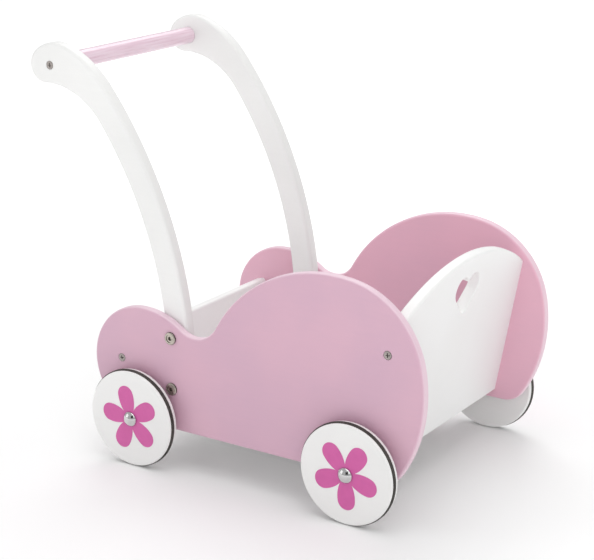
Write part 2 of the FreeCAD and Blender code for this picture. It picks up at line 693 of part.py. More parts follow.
def handle_arm(side):
    """Bent arm against the inside of a side panel, from a rounded foot up to a rounded head."""
    body = new_body(side + "_handle_arm")
    sketch = sketch_on(body, "XZ_Plane", "outline")
    front, rear = s.arm_front_x, s.arm_front_x - s.arm_width
    start, foot = s.arm_sweep_start, (s.arm_front_x - s.arm_width / 2, s.lower_bolt_height)
    long_front = (front - s.arm_front_radius, start)
    long_rear = (rear - s.arm_rear_radius, start)
    rise = float(s.arm_sweep_end - start)
    turn_x = float(long_front[0]) + math.sqrt(float(s.arm_front_radius) ** 2 - rise ** 2)
    upper_start = (turn_x, float(s.arm_sweep_end))
    upper = reach(upper_start, long_front, s.arm_upper_radius)
    shoulder = circles_meet(upper, s.arm_upper_radius - s.arm_shoulder_radius, arm_head,
                            s.arm_shoulder_radius - s.arm_head_radius, -1)
    hollow = circles_meet(long_rear, s.arm_rear_radius - s.arm_hollow_radius, arm_head,
                          s.arm_hollow_radius + s.arm_head_radius, -1)
    front_top, rear_top = ((float(x), float(start)) for x in (front, rear))
    front_foot, rear_foot = ((float(x), float(foot[1])) for x in (front, rear))
    shoulder_start = reach(upper, shoulder, s.arm_upper_radius)
    head_start = reach(shoulder, arm_head, s.arm_shoulder_radius)
    head_end = reach(arm_head, hollow, s.arm_head_radius)
    hollow_end = reach(long_rear, hollow, s.arm_rear_radius)
    smooth_outline(sketch, [
        (front_foot, front_top),
        (long_front, front_top, upper_start, 1),
        (upper, upper_start, shoulder_start, 1),
        (shoulder, shoulder_start, head_start, 1),
        (arm_head, head_start, head_end, 1),
        (hollow, head_end, hollow_end, -1),
        (long_rear, hollow_end, rear_top, -1),
        (rear_top, rear_foot),
        (foot, rear_foot, front_foot, 1),
    ])
    for index in (0, 7):
        sketch.addConstraint(Sketcher.Constraint("Vertical", index))
    radii = (s.arm_front_radius, s.arm_upper_radius, s.arm_shoulder_radius, s.arm_head_radius,
             s.arm_hollow_radius, s.arm_rear_radius)
    for index, radius in enumerate(radii, start=1):
        limit(sketch, "Radius", index, to=radius)
    limit(sketch, "DistanceX", -1, START, 0, START, to=front)
    limit(sketch, "DistanceX", -1, START, 7, START, to=rear)
    limit(sketch, "DistanceY", -1, START, 8, CENTRE, to=foot[1])
    limit(sketch, "DistanceY", -1, START, 1, CENTRE, to=start)
    limit(sketch, "DistanceY", -1, START, 6, CENTRE, to=start)
    limit(sketch, "DistanceY", -1, START, 1, END, to=s.arm_sweep_end)
    pin(sketch, 4, CENTRE, *arm_head)
    out = SIDES[side]
    bar = pad(body, sketch, "bar", s.arm_thickness, backwards=out < 0)
    round_edges(body, bar, "rounding", s.arm_rounding,
                in_plane("Y", 0, -out * float(s.arm_thickness)))
    for number, (x, height) in enumerate(bolt_centres, start=1):
        drill(body, f"insert_hole_{number}", (x, 0, height), -out,
              s.insert_radius + s.fit_clearance, s.insert_length + s.fit_clearance)
    countersink(body, "grip_screw", *grip_centre, 0, -out)
    keep(body, body.Name, place(0, out * float(half_inside), 0))


def grip():
    """Round wooden grip between the arms, drilled at both ends for its screws."""
    body = new_body("handle_grip")
    sketch = sketch_on(body, "XZ_Plane", "outline")
    ring(sketch, (None, None), s.grip_radius)
    pad(body, sketch, "rod", 2 * arm_inside, both_ways=True)
    depth = s.screw_length - s.arm_thickness + s.fit_clearance
    for side, out in SIDES.items():
        mouth = (0, out * float(arm_inside), 0)
        drill(body, f"screw_hole_{side}", mouth, -out, s.screw_radius + s.fit_clearance, depth)
    keep(body, body.Name, place(grip_centre[0], 0, grip_centre[1]))


def arm_bolt(name):
    """Flat-headed furniture bolt with a hexagon socket; +Y leaves the head."""
    top, rim = s.bolt_head_thickness, s.bolt_head_radius
    body = turned(name, [
        (None, -s.bolt_length), (s.bolt_radius, -s.bolt_length), (s.bolt_radius, None),
        (rim, None), (rim, top - s.bolt_head_bevel), (rim - s.bolt_head_bevel, top), (None, top),
    ])
    sketch = sketch_on(body, "XZ_Plane", name + "_socket", shift=-top)
    across = s.socket_width / 2
    half_side = across * (1 / math.sqrt(3))
    point = 2 * half_side
    polygon(sketch, [(point, None), (half_side, across), (-half_side, across),
                     (-point, None), (-half_side, -across), (half_side, -across)])
    pocket(body, sketch, name + "_socket_cut", s.socket_depth, backwards=True)
    return body


def threaded_insert(name):
    """Threaded insert; its mouth is at the end that faces +Y."""
    bore = s.bolt_radius + s.fit_clearance
    return turned(name, [(bore, -s.insert_length), (s.insert_radius, -s.insert_length),
                         (s.insert_radius, None), (bore, None)])


def screw(name):
    """Countersunk wood screw with a cross recess; +Y leaves the head."""
    body = turned(name, [
        (None, -s.screw_length), (s.screw_radius, s.screw_tip - s.screw_length),
        (s.screw_radius, -s.screw_head_depth), (s.screw_head_radius, -s.screw_rim),
        (s.screw_head_radius, None), (None, None),
    ])
    sketch = sketch_on(body, "XZ_Plane", name + "_recess")
    reach_out, half = s.cross_span / 2, s.cross_width / 2
    polygon(sketch, [
        (reach_out, -half), (reach_out, half), (half, half), (half, reach_out),
        (-half, reach_out), (-half, half), (-reach_out, half), (-reach_out, -half),
        (-half, -half), (-half, -reach_out), (half, -reach_out), (half, -half),
    ])
    pocket(body, sketch, name + "_recess_cut", s.cross_depth, backwards=True)
    return body


def dowel(name):
    """Wooden locating dowel with bevelled ends; its outer end faces +Y."""
    rim, bevel, end = s.dowel_radius, s.dowel_bevel, s.dowel_length
    return turned(name, [
        (None, -end), (rim - bevel, -end), (rim, bevel - end), (rim, -bevel),
        (rim - bevel, None), (None, None),
    ])


def both_sides(points, across):
    """Placements at side-view points on both sides, at a distance across from the middle."""
    return [place(x, out * float(across), height, facing(side))
            for side, out in SIDES.items() for x, height in points]


def axle(end):
    """Steel axle rod through both side panels, into the hub caps."""
    half = cap_out + s.cap_grip
    rim, bevel = s.axle_radius, s.axle_bevel
    body = turned(end + "_axle", [
        (None, -half), (rim - bevel, -half), (rim, bevel - half), (rim, half - bevel),
        (rim - bevel, half), (None, half),
    ])
    keep(body, body.Name, place(AXLES[end], 0, 0))


def at_hub(end, side, across):
    """Placement on an axle at a distance across, with +Y outwards."""
    return place(AXLES[end], SIDES[side] * float(across), 0, facing(side))


def spacer(end, side):
    """Flat washer that keeps a wheel off the side panel."""
    thickness = s.wheel_gap - 2 * s.spacer_play
    bore = s.axle_radius + s.running_clearance
    body = turned(f"{end}_{side}_spacer", [
        (bore, None), (s.spacer_radius, None), (s.spacer_radius, thickness), (bore, thickness),
    ])
    keep(body, body.Name, at_hub(end, side, half_body + s.spacer_play))


def wheel(end, side):
    """Solid wooden wheel with a rounded outer rim and a groove for its rubber ring."""
    full, rim = s.wheel_thickness, s.wheel_radius
    bore = s.axle_radius + s.running_clearance
    groove_floor = rim + s.tyre_proud - s.tyre_depth
    groove_out = full - s.tyre_inset
    groove_in = groove_out - s.tyre_width
    body = turned(f"{end}_{side}_wheel", [
        (bore, None), (rim - s.wheel_back_bevel, None), (rim, s.wheel_back_bevel),
        (rim, groove_in), (groove_floor, groove_in), (groove_floor, groove_out),
        (rim, groove_out), (rim, full), (bore, full),
    ])
    face = in_plane("Y", full)
    round_edges(body, body.Tip, "rim_rounding", s.wheel_rounding,
                lambda edge: face(edge) and edge.BoundBox.XLength > float(rim))
    keep(body, body.Name, at_hub(end, side, hub_out))


def tyre(end, side):
    """Rubber ring in the wheel's groove, standing a little proud of the rim."""
    tread = s.wheel_radius + s.tyre_proud
    inside = tread - s.tyre_depth
    outer = s.wheel_thickness - s.tyre_inset
    inner = outer - s.tyre_width
    body = turned(f"{end}_{side}_tyre", [
        (inside, inner), (tread, inner), (tread, outer), (inside, outer)])
    round_edges(body, body.Tip, "tread_rounding", s.tyre_rounding,
                lambda edge: edge.BoundBox.XLength > 2 * float(tread) - TOUCH
                and edge.BoundBox.YLength < TOUCH)
    keep(body, body.Name, at_hub(end, side, hub_out))


def flower(end, side):
    """Five-petalled flower film on the wheel's outer face."""
    body = new_body(f"{end}_{side}_flower")
    sketch = sketch_on(body, "XZ_Plane", "petal")
    tip_x = float(s.flower_radius - s.petal_end_radius)
    end_centre, root_point = (tip_x, 0.0), (0.0, 0.0)
    side_gap = s.petal_side_radius - s.petal_end_radius
    below = circles_meet(end_centre, side_gap, root_point, s.petal_side_radius, +1)
    above = (below[0], -below[1])
    touch_up = reach(below, end_centre, s.petal_side_radius)
    touch_down = (touch_up[0], -touch_up[1])
    arcs = ((below, touch_up, root_point), (above, root_point, touch_down),
            (end_centre, touch_down, touch_up))
    for centre, start, finish in arcs:
        from_angle, to_angle = (math.atan2(point[1] - centre[1], point[0] - centre[0])
                                for point in (start, finish))
        if to_angle < from_angle:
            to_angle += 2 * math.pi
        radius = math.hypot(start[0] - centre[0], start[1] - centre[1])
        whole = Part.Circle(Vector(*centre, 0), Vector(0, 0, 1), radius)
        sketch.addGeometry(Part.ArcOfCircle(whole, from_angle, to_angle))
    for args in (("Coincident", 0, END, 1, START), ("Tangent", 1, END, 2, START),
                 ("Tangent", 2, END, 0, START)):
        sketch.addConstraint(Sketcher.Constraint(*args))
    for index, radius in ((0, s.petal_side_radius), (1, s.petal_side_radius),
                          (2, s.petal_end_radius)):
        limit(sketch, "Radius", index, to=radius)
    pin(sketch, 2, CENTRE, s.flower_radius - s.petal_end_radius, None)
    pin(sketch, 1, START, None, None)
    petal = pad(body, sketch, "film", s.flower_thickness, backwards=True)
    petals = body.newObject("PartDesign::PolarPattern", "petals")
    petals.Originals = [petal]
    petals.Axis = (sketch, ["N_Axis"])
    petals.Angle = 360
    petals.Occurrences = 5
    body.Tip = petals
    doc.recompute()
    hole = sketch_on(body, "XZ_Plane", "axle_hole")
    ring(hole, (None, None), s.axle_radius + s.running_clearance)
    pocket(body, hole, "axle_cut")
    turn = FLOWER_TURNS[end, side]
    spin = Rotation(Vector(0, 1, 0), -turn if side == "left" else 180 - turn)
    spot = at_hub(end, side, hub_out + s.wheel_thickness)
    keep(body, body.Name, FreeCAD.Placement(spot.Base, spin.multiply(facing(side))))


def dome(sketch, radius, foot, top, centre):
    """Half section of a dome: its foot out from the axis, up to its rim and over to its top."""
    rim = centre + math.sqrt(radius ** 2 - foot[0] ** 2)
    start = math.atan2(rim - centre, foot[0])
    arch = Part.Circle(Vector(0, centre, 0), Vector(0, 0, 1), radius)
    corners = [Vector(0, foot[1], 0), Vector(*foot, 0), Vector(foot[0], rim, 0)]
    if rim - foot[1] < TOUCH:
        corners.pop()
    for first, second in zip(corners, corners[1:]):
        sketch.addGeometry(Part.LineSegment(first, second))
    sketch.addGeometry(Part.ArcOfCircle(arch, start, math.pi / 2))
    sketch.addGeometry(Part.LineSegment(Vector(0, top, 0), corners[0]))
    last = sketch.GeometryCount - 1
    for index in range(last + 1):
        join = Sketcher.Constraint("Coincident", index, END, (index + 1) % (last + 1), START)
        sketch.addConstraint(join)
    return last


def hub_cap(end, side):
    """Domed steel cap whose flat back grips the end of the axle."""
    body = new_body(f"{end}_{side}_hub_cap")
    height, rim = s.cap_height, s.cap_rim
    rise = height - rim
    outer = (s.cap_radius * s.cap_radius + rise * rise) / (2 * rise)
    centre = height - outer
    sketch = sketch_on(body, "XY_Plane", "dome")
    last = dome(sketch, float(outer), (float(s.cap_radius), 0.0), float(height), float(centre))
    pin(sketch, 0, START, None, None)
    pin(sketch, 0, END, s.cap_radius, None)
    sketch.addConstraint(Sketcher.Constraint("Vertical", 1))
    limit(sketch, "DistanceY", -1, START, 1, END, to=rim)
    pin(sketch, last - 1, CENTRE, None, centre)
    sketch.addConstraint(Sketcher.Constraint("PointOnObject", last, START, -2))
    shell = body.newObject("PartDesign::Revolution", "shell")
    shell.Profile = sketch
    shell.ReferenceAxis = (sketch, ["V_Axis"])
    shell.Angle = 360
    doc.recompute()
    inner = outer - s.cap_wall
    room = root(inner * inner - (s.cap_wall - centre) * (s.cap_wall - centre))
    hollow = sketch_on(body, "XY_Plane", "hollow")
    last = dome(hollow, float(inner), (float(room), float(s.cap_wall)),
                float(height - s.cap_wall), float(centre))
    pin(hollow, 0, START, None, s.cap_wall)
    hollow.addConstraint(Sketcher.Constraint("Horizontal", 0))
    limit(hollow, "Radius", last - 1, to=inner)
    pin(hollow, last - 1, CENTRE, None, centre)
    hollow.addConstraint(Sketcher.Constraint("PointOnObject", last, START, -2))
    before = body.Shape.Volume
    groove = body.newObject("PartDesign::Groove", "room")
    groove.Profile = hollow
    groove.ReferenceAxis = (hollow, ["V_Axis"])
    groove.Angle = 360
    must_cut(body, groove, before)
    mouth = sketch_on(body, "XZ_Plane", "axle_hole")
    ring(mouth, (None, None), s.axle_radius)
    pocket(body, mouth, "axle_cut", s.cap_wall)
    keep(body, body.Name, at_hub(end, side, cap_out))


for side_name in SIDES:
    side_panel(side_name)
    handle_arm(side_name)
front_board()
rear_board()
floor_board()
grip()
group("arm_bolts", arm_bolt, both_sides(bolt_centres, half_body))
group("arm_inserts", threaded_insert, both_sides(bolt_centres, half_inside))
group("front_board_screws", screw, both_sides([front_screw], half_body))
group("rear_board_screws", screw, both_sides([rear_screw], half_body))
group("grip_screws", screw, both_sides([grip_centre], half_inside))
dowel_ends = half_inside + s.dowel_in_side
group("front_board_dowels", dowel, both_sides([front_dowel], dowel_ends))
group("rear_board_dowels", dowel, both_sides([rear_dowel], dowel_ends))
group("floor_board_dowels", dowel, both_sides(floor_dowels, dowel_ends))
for axle_name in AXLES:
    axle(axle_name)
    for side_name in SIDES:
        spacer(axle_name, side_name)
        wheel(axle_name, side_name)
        tyre(axle_name, side_name)
        flower(axle_name, side_name)
        hub_cap(axle_name, side_name)

# ---------------------------------------------------------------- check everything, then write
doc.recompute()
for item in doc.Objects:
    if {"Invalid", "Error"} & set(item.State):
        raise RuntimeError(f"{item.Label} failed: {item.State}")
for node in NODES:
    if node.Shape.isNull() or not node.Shape.isValid():
        raise RuntimeError(f"{node.Label} has no valid shape")
os.makedirs("parts", exist_ok=True)
for node in NODES:
    node.Shape.exportStep(f"parts/{node.Label}.step")
print(f"{len(NODES)} nodes, {sum(len(node.Shape.Solids) for node in NODES)} solids")
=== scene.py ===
"""Looks of a wooden doll pram: painted boards, bent handle arms, flower wheels and plated fittings.

Every new piece is drawn on the bench with mesh operators, in metres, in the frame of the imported
model: +X forward, +Y the pram's left side, +Z up, and the origin on the floor under its middle.
"""
import json
import logging
import math
from collections.abc import Callable, Sequence
from dataclasses import dataclass
from enum import Enum

import bmesh
import bpy
from mathutils import Euler, Matrix, Vector


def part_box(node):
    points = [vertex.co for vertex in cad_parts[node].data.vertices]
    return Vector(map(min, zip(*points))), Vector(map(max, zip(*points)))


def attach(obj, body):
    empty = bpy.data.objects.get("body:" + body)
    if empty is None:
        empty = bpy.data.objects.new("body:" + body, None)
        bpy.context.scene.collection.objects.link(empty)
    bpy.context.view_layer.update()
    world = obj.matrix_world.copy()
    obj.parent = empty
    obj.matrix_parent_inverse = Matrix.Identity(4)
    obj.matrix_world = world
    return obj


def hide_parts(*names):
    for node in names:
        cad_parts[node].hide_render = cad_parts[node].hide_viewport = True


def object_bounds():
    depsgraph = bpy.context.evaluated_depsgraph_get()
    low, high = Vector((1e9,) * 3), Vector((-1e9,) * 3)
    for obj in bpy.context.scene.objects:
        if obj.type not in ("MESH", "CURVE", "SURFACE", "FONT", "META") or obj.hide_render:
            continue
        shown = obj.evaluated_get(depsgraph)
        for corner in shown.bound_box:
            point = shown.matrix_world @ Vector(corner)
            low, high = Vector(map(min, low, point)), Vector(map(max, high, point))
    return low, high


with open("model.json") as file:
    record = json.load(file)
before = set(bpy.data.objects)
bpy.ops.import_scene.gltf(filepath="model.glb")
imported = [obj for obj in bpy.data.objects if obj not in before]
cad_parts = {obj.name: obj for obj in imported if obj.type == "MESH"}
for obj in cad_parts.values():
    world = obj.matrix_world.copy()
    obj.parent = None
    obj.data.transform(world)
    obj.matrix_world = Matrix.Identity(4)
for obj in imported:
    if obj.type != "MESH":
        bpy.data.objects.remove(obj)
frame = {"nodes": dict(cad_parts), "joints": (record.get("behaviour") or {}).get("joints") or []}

LOG = logging.getLogger("doll_pram")
MM = 0.001
TOUCH = 0.005 * MM
FULL_TURN = 2 * math.pi
CAD_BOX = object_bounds()
PRAM_BODY = "pram_body"

Point = tuple[float, float]
Place = tuple[float, float, float]
Colour = tuple[float, float, float]


# ------------------------------------------------------------------ names used everywhere
class Side(Enum):
    """The two sides of the pram, with the direction that points outwards along Y."""

    LEFT = 1
    RIGHT = -1

    @property
    def word(self) -> str:
        """Give the side's name as the nodes write it."""
        return self.name.lower()


class End(Enum):
    """The two axles, with the joint that each turns on."""

    REAR = "rear_axle_turn"
    FRONT = "front_axle_turn"

    @property
    def word(self) -> str:
        """Give the axle's name as the nodes write it."""
        return self.name.lower()

    @property
    def hub(self) -> Vector:
        """Give where the axle crosses the middle of the pram."""
        joint = next(item for item in frame["joints"] if item["name"] == self.value)
        return Vector(joint["pos_m"])


class Plane(Enum):
    """The planes in which outlines are drawn, each with its two directions."""

    SIDE = ((1, 0, 0), (0, 0, 1))
    ACROSS = ((0, 1, 0), (0, 0, 1))
    SECTION = ((1, 0, 0), (0, 1, 0))

    def at(self, spot: Point) -> Vector:
        """Give the point in space that lies at a spot of this plane."""
        return spot[0] * Vector(self.value[0]) + spot[1] * Vector(self.value[1])

    @property
    def spin_axis(self) -> Vector:
        """Give the axis about which the spin operator turns left in this plane."""
        return -Vector(self.value[0]).cross(Vector(self.value[1]))


# ------------------------------------------------------------------ plane geometry
def circles_meet(a: Point, radius_a: float, b: Point, radius_b: float, side: int) -> Point:
    """Find a crossing of two circles.

    Args:
        a: Centre of the first circle.
        radius_a: Radius of the first circle.
        b: Centre of the second circle.
        radius_b: Radius of the second circle.
        side: +1 for the crossing left of the line from a to b, -1 for the one on its right.

    Returns:
        The crossing.
    """
    apart = math.hypot(b[0] - a[0], b[1] - a[1])
    along = (radius_a ** 2 - radius_b ** 2 + apart ** 2) / (2 * apart)
    off = side * math.sqrt(radius_a ** 2 - along ** 2)
    return (a[0] + (along * (b[0] - a[0]) - off * (b[1] - a[1])) / apart,
            a[1] + (along * (b[1] - a[1]) + off * (b[0] - a[0])) / apart)


def reach(centre: Point, target: Point, distance: float) -> Point:
    """Go a distance from a centre towards a target.

    Args:
        centre: Where to start.
        target: What to head for.
        distance: How far to go.

    Returns:
        The point reached.
    """
    share = distance / math.hypot(target[0] - centre[0], target[1] - centre[1])
    return (centre[0] + (target[0] - centre[0]) * share,
            centre[1] + (target[1] - centre[1]) * share)


def turned_by(spot: Point, angle: float) -> Point:
    """Give a point turned about the origin by an angle."""
    return (spot[0] * math.cos(angle) - spot[1] * math.sin(angle),
            spot[0] * math.sin(angle) + spot[1] * math.cos(angle))


# ------------------------------------------------------------------ the modelling bench
class Bench:
    """Modelling with mesh operators: one piece is in hand at a time, in edit or object mode."""

    chord = 2.0 * MM
    widest_step = math.radians(7.5)
    speck = 0.01 * MM
    weld = speck / 4
    sharp_angle = math.radians(40)
    face_weight = 90

    @classmethod
    def clear(cls) -> None:
        """Leave edit mode and put everything down."""
        if bpy.context.mode != "OBJECT":
            bpy.ops.object.mode_set(mode="OBJECT")
        bpy.ops.object.select_all(action="DESELECT")

    @classmethod
    def take(cls, piece: bpy.types.Object) -> None:
        """Take one piece in hand, in object mode.

        Args:
            piece: The piece.
        """
        cls.clear()
        piece.select_set(True)
        bpy.context.view_layer.objects.active = piece

    @classmethod
    def edit(cls, piece: bpy.types.Object) -> None:
        """Take one piece in hand, in edit mode with everything selected.

        Args:
            piece: The piece.
        """
        cls.take(piece)
        bpy.ops.object.mode_set(mode="EDIT")
        bpy.ops.mesh.select_all(action="SELECT")

    @classmethod
    def settle(cls, piece: bpy.types.Object) -> None:
        """Merge doubles and point every face outwards.

        Args:
            piece: The piece.
        """
        cls.edit(piece)
        bpy.ops.mesh.remove_doubles(threshold=cls.weld)
        bpy.ops.mesh.normals_make_consistent(inside=False)
        cls.clear()

    @classmethod
    def pick_edges(cls, piece: bpy.types.Object, wanted: Callable[[Vector, Vector], bool]) -> int:
        """Select the edges that a test picks, leaving the piece in edit mode.

        Args:
            piece: The piece to select on.
            wanted: Takes an edge's two ends and says whether it is selected.

        Returns:
            How many edges are selected.
        """
        cls.edit(piece)
        bpy.ops.mesh.select_all(action="DESELECT")
        bpy.ops.mesh.select_mode(type="EDGE")
        mesh = bmesh.from_edit_mesh(piece.data)
        count = 0
        for edge in mesh.edges:
            if wanted(edge.verts[0].co, edge.verts[1].co):
                edge.select_set(True)
                count += 1
        bmesh.update_edit_mesh(piece.data)
        return count

    @classmethod
    def round_edges(cls, piece: bpy.types.Object, radius: float,
                    wanted: Callable[[Vector, Vector], bool], segments: int = 6) -> None:
        """Round the edges that a test picks.

        Args:
            piece: The piece to work on.
            radius: Radius of the rounding.
            wanted: Takes an edge's two ends and says whether it is rounded.
            segments: Facets across the rounding.
        """
        if not cls.pick_edges(piece, wanted):
            raise ValueError(f"{piece.name}: no edge to round")
        bpy.ops.mesh.bevel(offset=radius, segments=segments, affect="EDGES",
                           clamp_overlap=False, miter_outer="SHARP")
        bpy.ops.mesh.select_mode(type="VERT")
        cls.settle(piece)

    @classmethod
    def ease(cls, piece: bpy.types.Object, radius: float, segments: int = 2) -> None:
        """Break every sharp edge that is left with a small Bevel modifier.

        Args:
            piece: The piece to work on.
            radius: Width of the broken edge.
            segments: Facets across it.
        """
        cls.take(piece)
        bevel = piece.modifiers.new("eased", "BEVEL")
        bevel.width = radius
        bevel.segments = segments
        bevel.limit_method = "ANGLE"
        bevel.angle_limit = cls.sharp_angle
        bevel.use_clamp_overlap = True
        bpy.ops.object.modifier_apply(modifier=bevel.name)

    @classmethod
    def cut(cls, piece: bpy.types.Object, cutters: Sequence[bpy.types.Object]) -> None:
        """Cut shapes out of a piece and throw the cutters away.

        Args:
            piece: The piece to cut.
            cutters: The shapes to take out of it.
        """
        for cutter in cutters:
            cls.take(piece)
            difference = piece.modifiers.new("cut", "BOOLEAN")
            difference.operation = "DIFFERENCE"
            difference.solver = "EXACT"
            difference.object = cutter
            bpy.ops.object.modifier_apply(modifier=difference.name)
            bpy.data.objects.remove(cutter)

    @classmethod
    def polish(cls, piece: bpy.types.Object, angle: float = 35.0) -> bpy.types.Object:
        """Shade a finished piece smooth, flat faces staying flat.

        Args:
            piece: The piece.
            angle: Sharpest edge that is shaded smooth, in degrees.

        Returns:
            The piece.
        """
        cls.settle(piece)
        cls.take(piece)
        bpy.ops.object.shade_smooth_by_angle(angle=math.radians(angle))
        weighted = piece.modifiers.new("weighted", "WEIGHTED_NORMAL")
        weighted.keep_sharp = True
        weighted.weight = cls.face_weight
        bpy.ops.object.modifier_apply(modifier=weighted.name)
        cls.clear()
        return piece

    @classmethod
    def moved(cls, piece: bpy.types.Object, placement: Matrix) -> bpy.types.Object:
        """Move a piece, leaving its place in its mesh.

        Args:
            piece: The piece.
            placement: Where it goes.

        Returns:
            The piece.
        """
        cls.take(piece)
        piece.matrix_world = placement
        bpy.ops.object.transform_apply(location=True, rotation=True, scale=True)
        cls.clear()
        return piece

    @classmethod
    def copies(cls, model: bpy.types.Object, names: Sequence[str],
               placements: Sequence[Matrix]) -> list[bpy.types.Object]:
        """Copy a model to its places, each copy with its own mesh, and drop the model.

        Args:
            model: The piece made once, at the origin.
            names: A name for each copy.
            placements: A placement for each copy.

        Returns:
            The copies.
        """
        made = []
        for name, placement in zip(names, placements):
            twin = model.copy()
            twin.data = model.data.copy()
            twin.name = name
            bpy.context.scene.collection.objects.link(twin)
            made.append(cls.moved(twin, placement))
        bpy.data.objects.remove(model)
        return made

    @classmethod
    def joined(cls, pieces: Sequence[bpy.types.Object], name: str) -> bpy.types.Object:
        """Join loose pieces into one.

        Args:
            pieces: The loose pieces.
            name: The name of the joined piece.

        Returns:
            The joined piece.
        """
        cls.clear()
        for piece in pieces:
            piece.select_set(True)
        bpy.context.view_layer.objects.active = pieces[0]
        bpy.ops.object.join()
        pieces[0].name = name
        cls.clear()
        return pieces[0]


class Outline:
    """An outline drawn as by a pen in one plane, which then becomes a board or a turned piece."""

    def __init__(self, name: str, plane: Plane, start: Point) -> None:
        """Start with a plane primitive merged to one vertex.

        Args:
            name: The piece's name.
            plane: The plane to draw in.
            start: Where the pen starts.
        """
        Bench.clear()
        bpy.ops.mesh.primitive_plane_add(size=Bench.speck, location=plane.at(start))
        bpy.ops.object.transform_apply(location=True)
        self.piece = bpy.context.object
        self.piece.name = name
        self.plane = plane
        self.pen = start
        bpy.ops.object.mode_set(mode="EDIT")
        bpy.ops.mesh.merge(type="CENTER")

    def line(self, to: Point) -> "Outline":
        """Draw a straight line.

        Args:
            to: Where it ends.

        Returns:
            This outline.
        """
        move = self.plane.at(to) - self.plane.at(self.pen)
        bpy.ops.mesh.extrude_vertices_move(TRANSFORM_OT_translate={"value": move})
        self.pen = to
        return self

    def arc(self, centre: Point, to: Point, turn: int) -> "Outline":
        """Draw an arc.

        Args:
            centre: Centre of the arc.
            to: Where it ends.
            turn: +1 to turn left, -1 to turn right.

        Returns:
            This outline.
        """
        start, end = (math.atan2(spot[1] - centre[1], spot[0] - centre[0])
                      for spot in (self.pen, to))
        sweep = (turn * (end - start)) % FULL_TURN
        radius = math.hypot(to[0] - centre[0], to[1] - centre[1])
        steps = max(math.ceil(radius * sweep / Bench.chord), math.ceil(sweep / Bench.widest_step))
        bpy.ops.mesh.spin(steps=steps, angle=turn * sweep, center=self.plane.at(centre),
                          axis=self.plane.spin_axis)
        self.pen = to
        return self

    def soften(self, corner: Point, radius: float, segments: int = 4) -> "Outline":
        """Round one drawn corner.

        Args:
            corner: The corner.
            radius: Length taken off both of its sides.
            segments: Facets across the rounding.

        Returns:
            This outline.
        """
        bpy.ops.mesh.select_all(action="DESELECT")
        bpy.ops.mesh.select_mode(type="VERT")
        mesh = bmesh.from_edit_mesh(self.piece.data)
        target = self.plane.at(corner)
        for vertex in mesh.verts:
            vertex.select_set((vertex.co - target).length < TOUCH)
        bmesh.update_edit_mesh(self.piece.data)
        bpy.ops.mesh.bevel(offset=radius, segments=segments, affect="VERTICES")
        return self

    def board(self, thickness: Vector) -> bpy.types.Object:
        """Close the outline, fill it and extrude it into a board.

        Args:
            thickness: Direction and length of the extrusion.

        Returns:
            The board, in object mode.
        """
        bpy.ops.mesh.select_all(action="SELECT")
        bpy.ops.mesh.remove_doubles(threshold=TOUCH)
        bpy.ops.mesh.edge_face_add()
        bpy.ops.mesh.extrude_region_move(TRANSFORM_OT_translate={"value": thickness})
        Bench.settle(self.piece)
        return self.piece

    def turned(self, steps: int) -> bpy.types.Object:
        """Spin the outline right round the Y axis.

        Args:
            steps: Facets round the axis.

        Returns:
            The turned piece, in object mode.
        """
        bpy.ops.mesh.select_all(action="SELECT")
        bpy.ops.mesh.remove_doubles(threshold=TOUCH)
        bpy.ops.mesh.spin(steps=steps, angle=FULL_TURN, center=(0, 0, 0), axis=(0, 1, 0))
        Bench.settle(self.piece)
        return self.piece


def lathe(name: str, corners: Sequence[Sequence[float]], steps: int = 64,
          closed: bool = False) -> bpy.types.Object:
    """Turn a piece about the Y axis from the corners of its half section.

    Args:
        name: The piece's name.
        corners: (radius, place along Y) of each corner, and a rounding where it has one.
        steps: Facets round the axis.
        closed: True where the section is a ring clear of the axis.

    Returns:
        The piece.
    """
    spots = [(corner[0], corner[1]) for corner in corners]
    outline = Outline(name, Plane.SECTION, spots[0])
    for spot in spots[1:]:
        outline.line(spot)
    if closed:
        outline.line(spots[0])
        bpy.ops.mesh.select_all(action="SELECT")
        bpy.ops.mesh.remove_doubles(threshold=TOUCH)
    for corner in corners:
        if len(corner) > 2:
            outline.soften((corner[0], corner[1]), corner[2])
    return outline.turned(steps)


def facing(side: Side, spot: Vector, turn: float = 0.0) -> Matrix:
    """Give the placement of a turned piece whose +Y end points outwards on one side.

    Args:
        side: The side that it faces.
        spot: Where its origin goes.
        turn: Angle that it is turned about the axle, up from straight forward.

    Returns:
        The placement.
    """
    outwards = Matrix.Rotation(0.0 if side is Side.LEFT else math.pi, 4, "X")
    spin = Matrix.Rotation(-turn, 4, "Y")
    return Matrix.Translation(spot) @ spin @ outwards


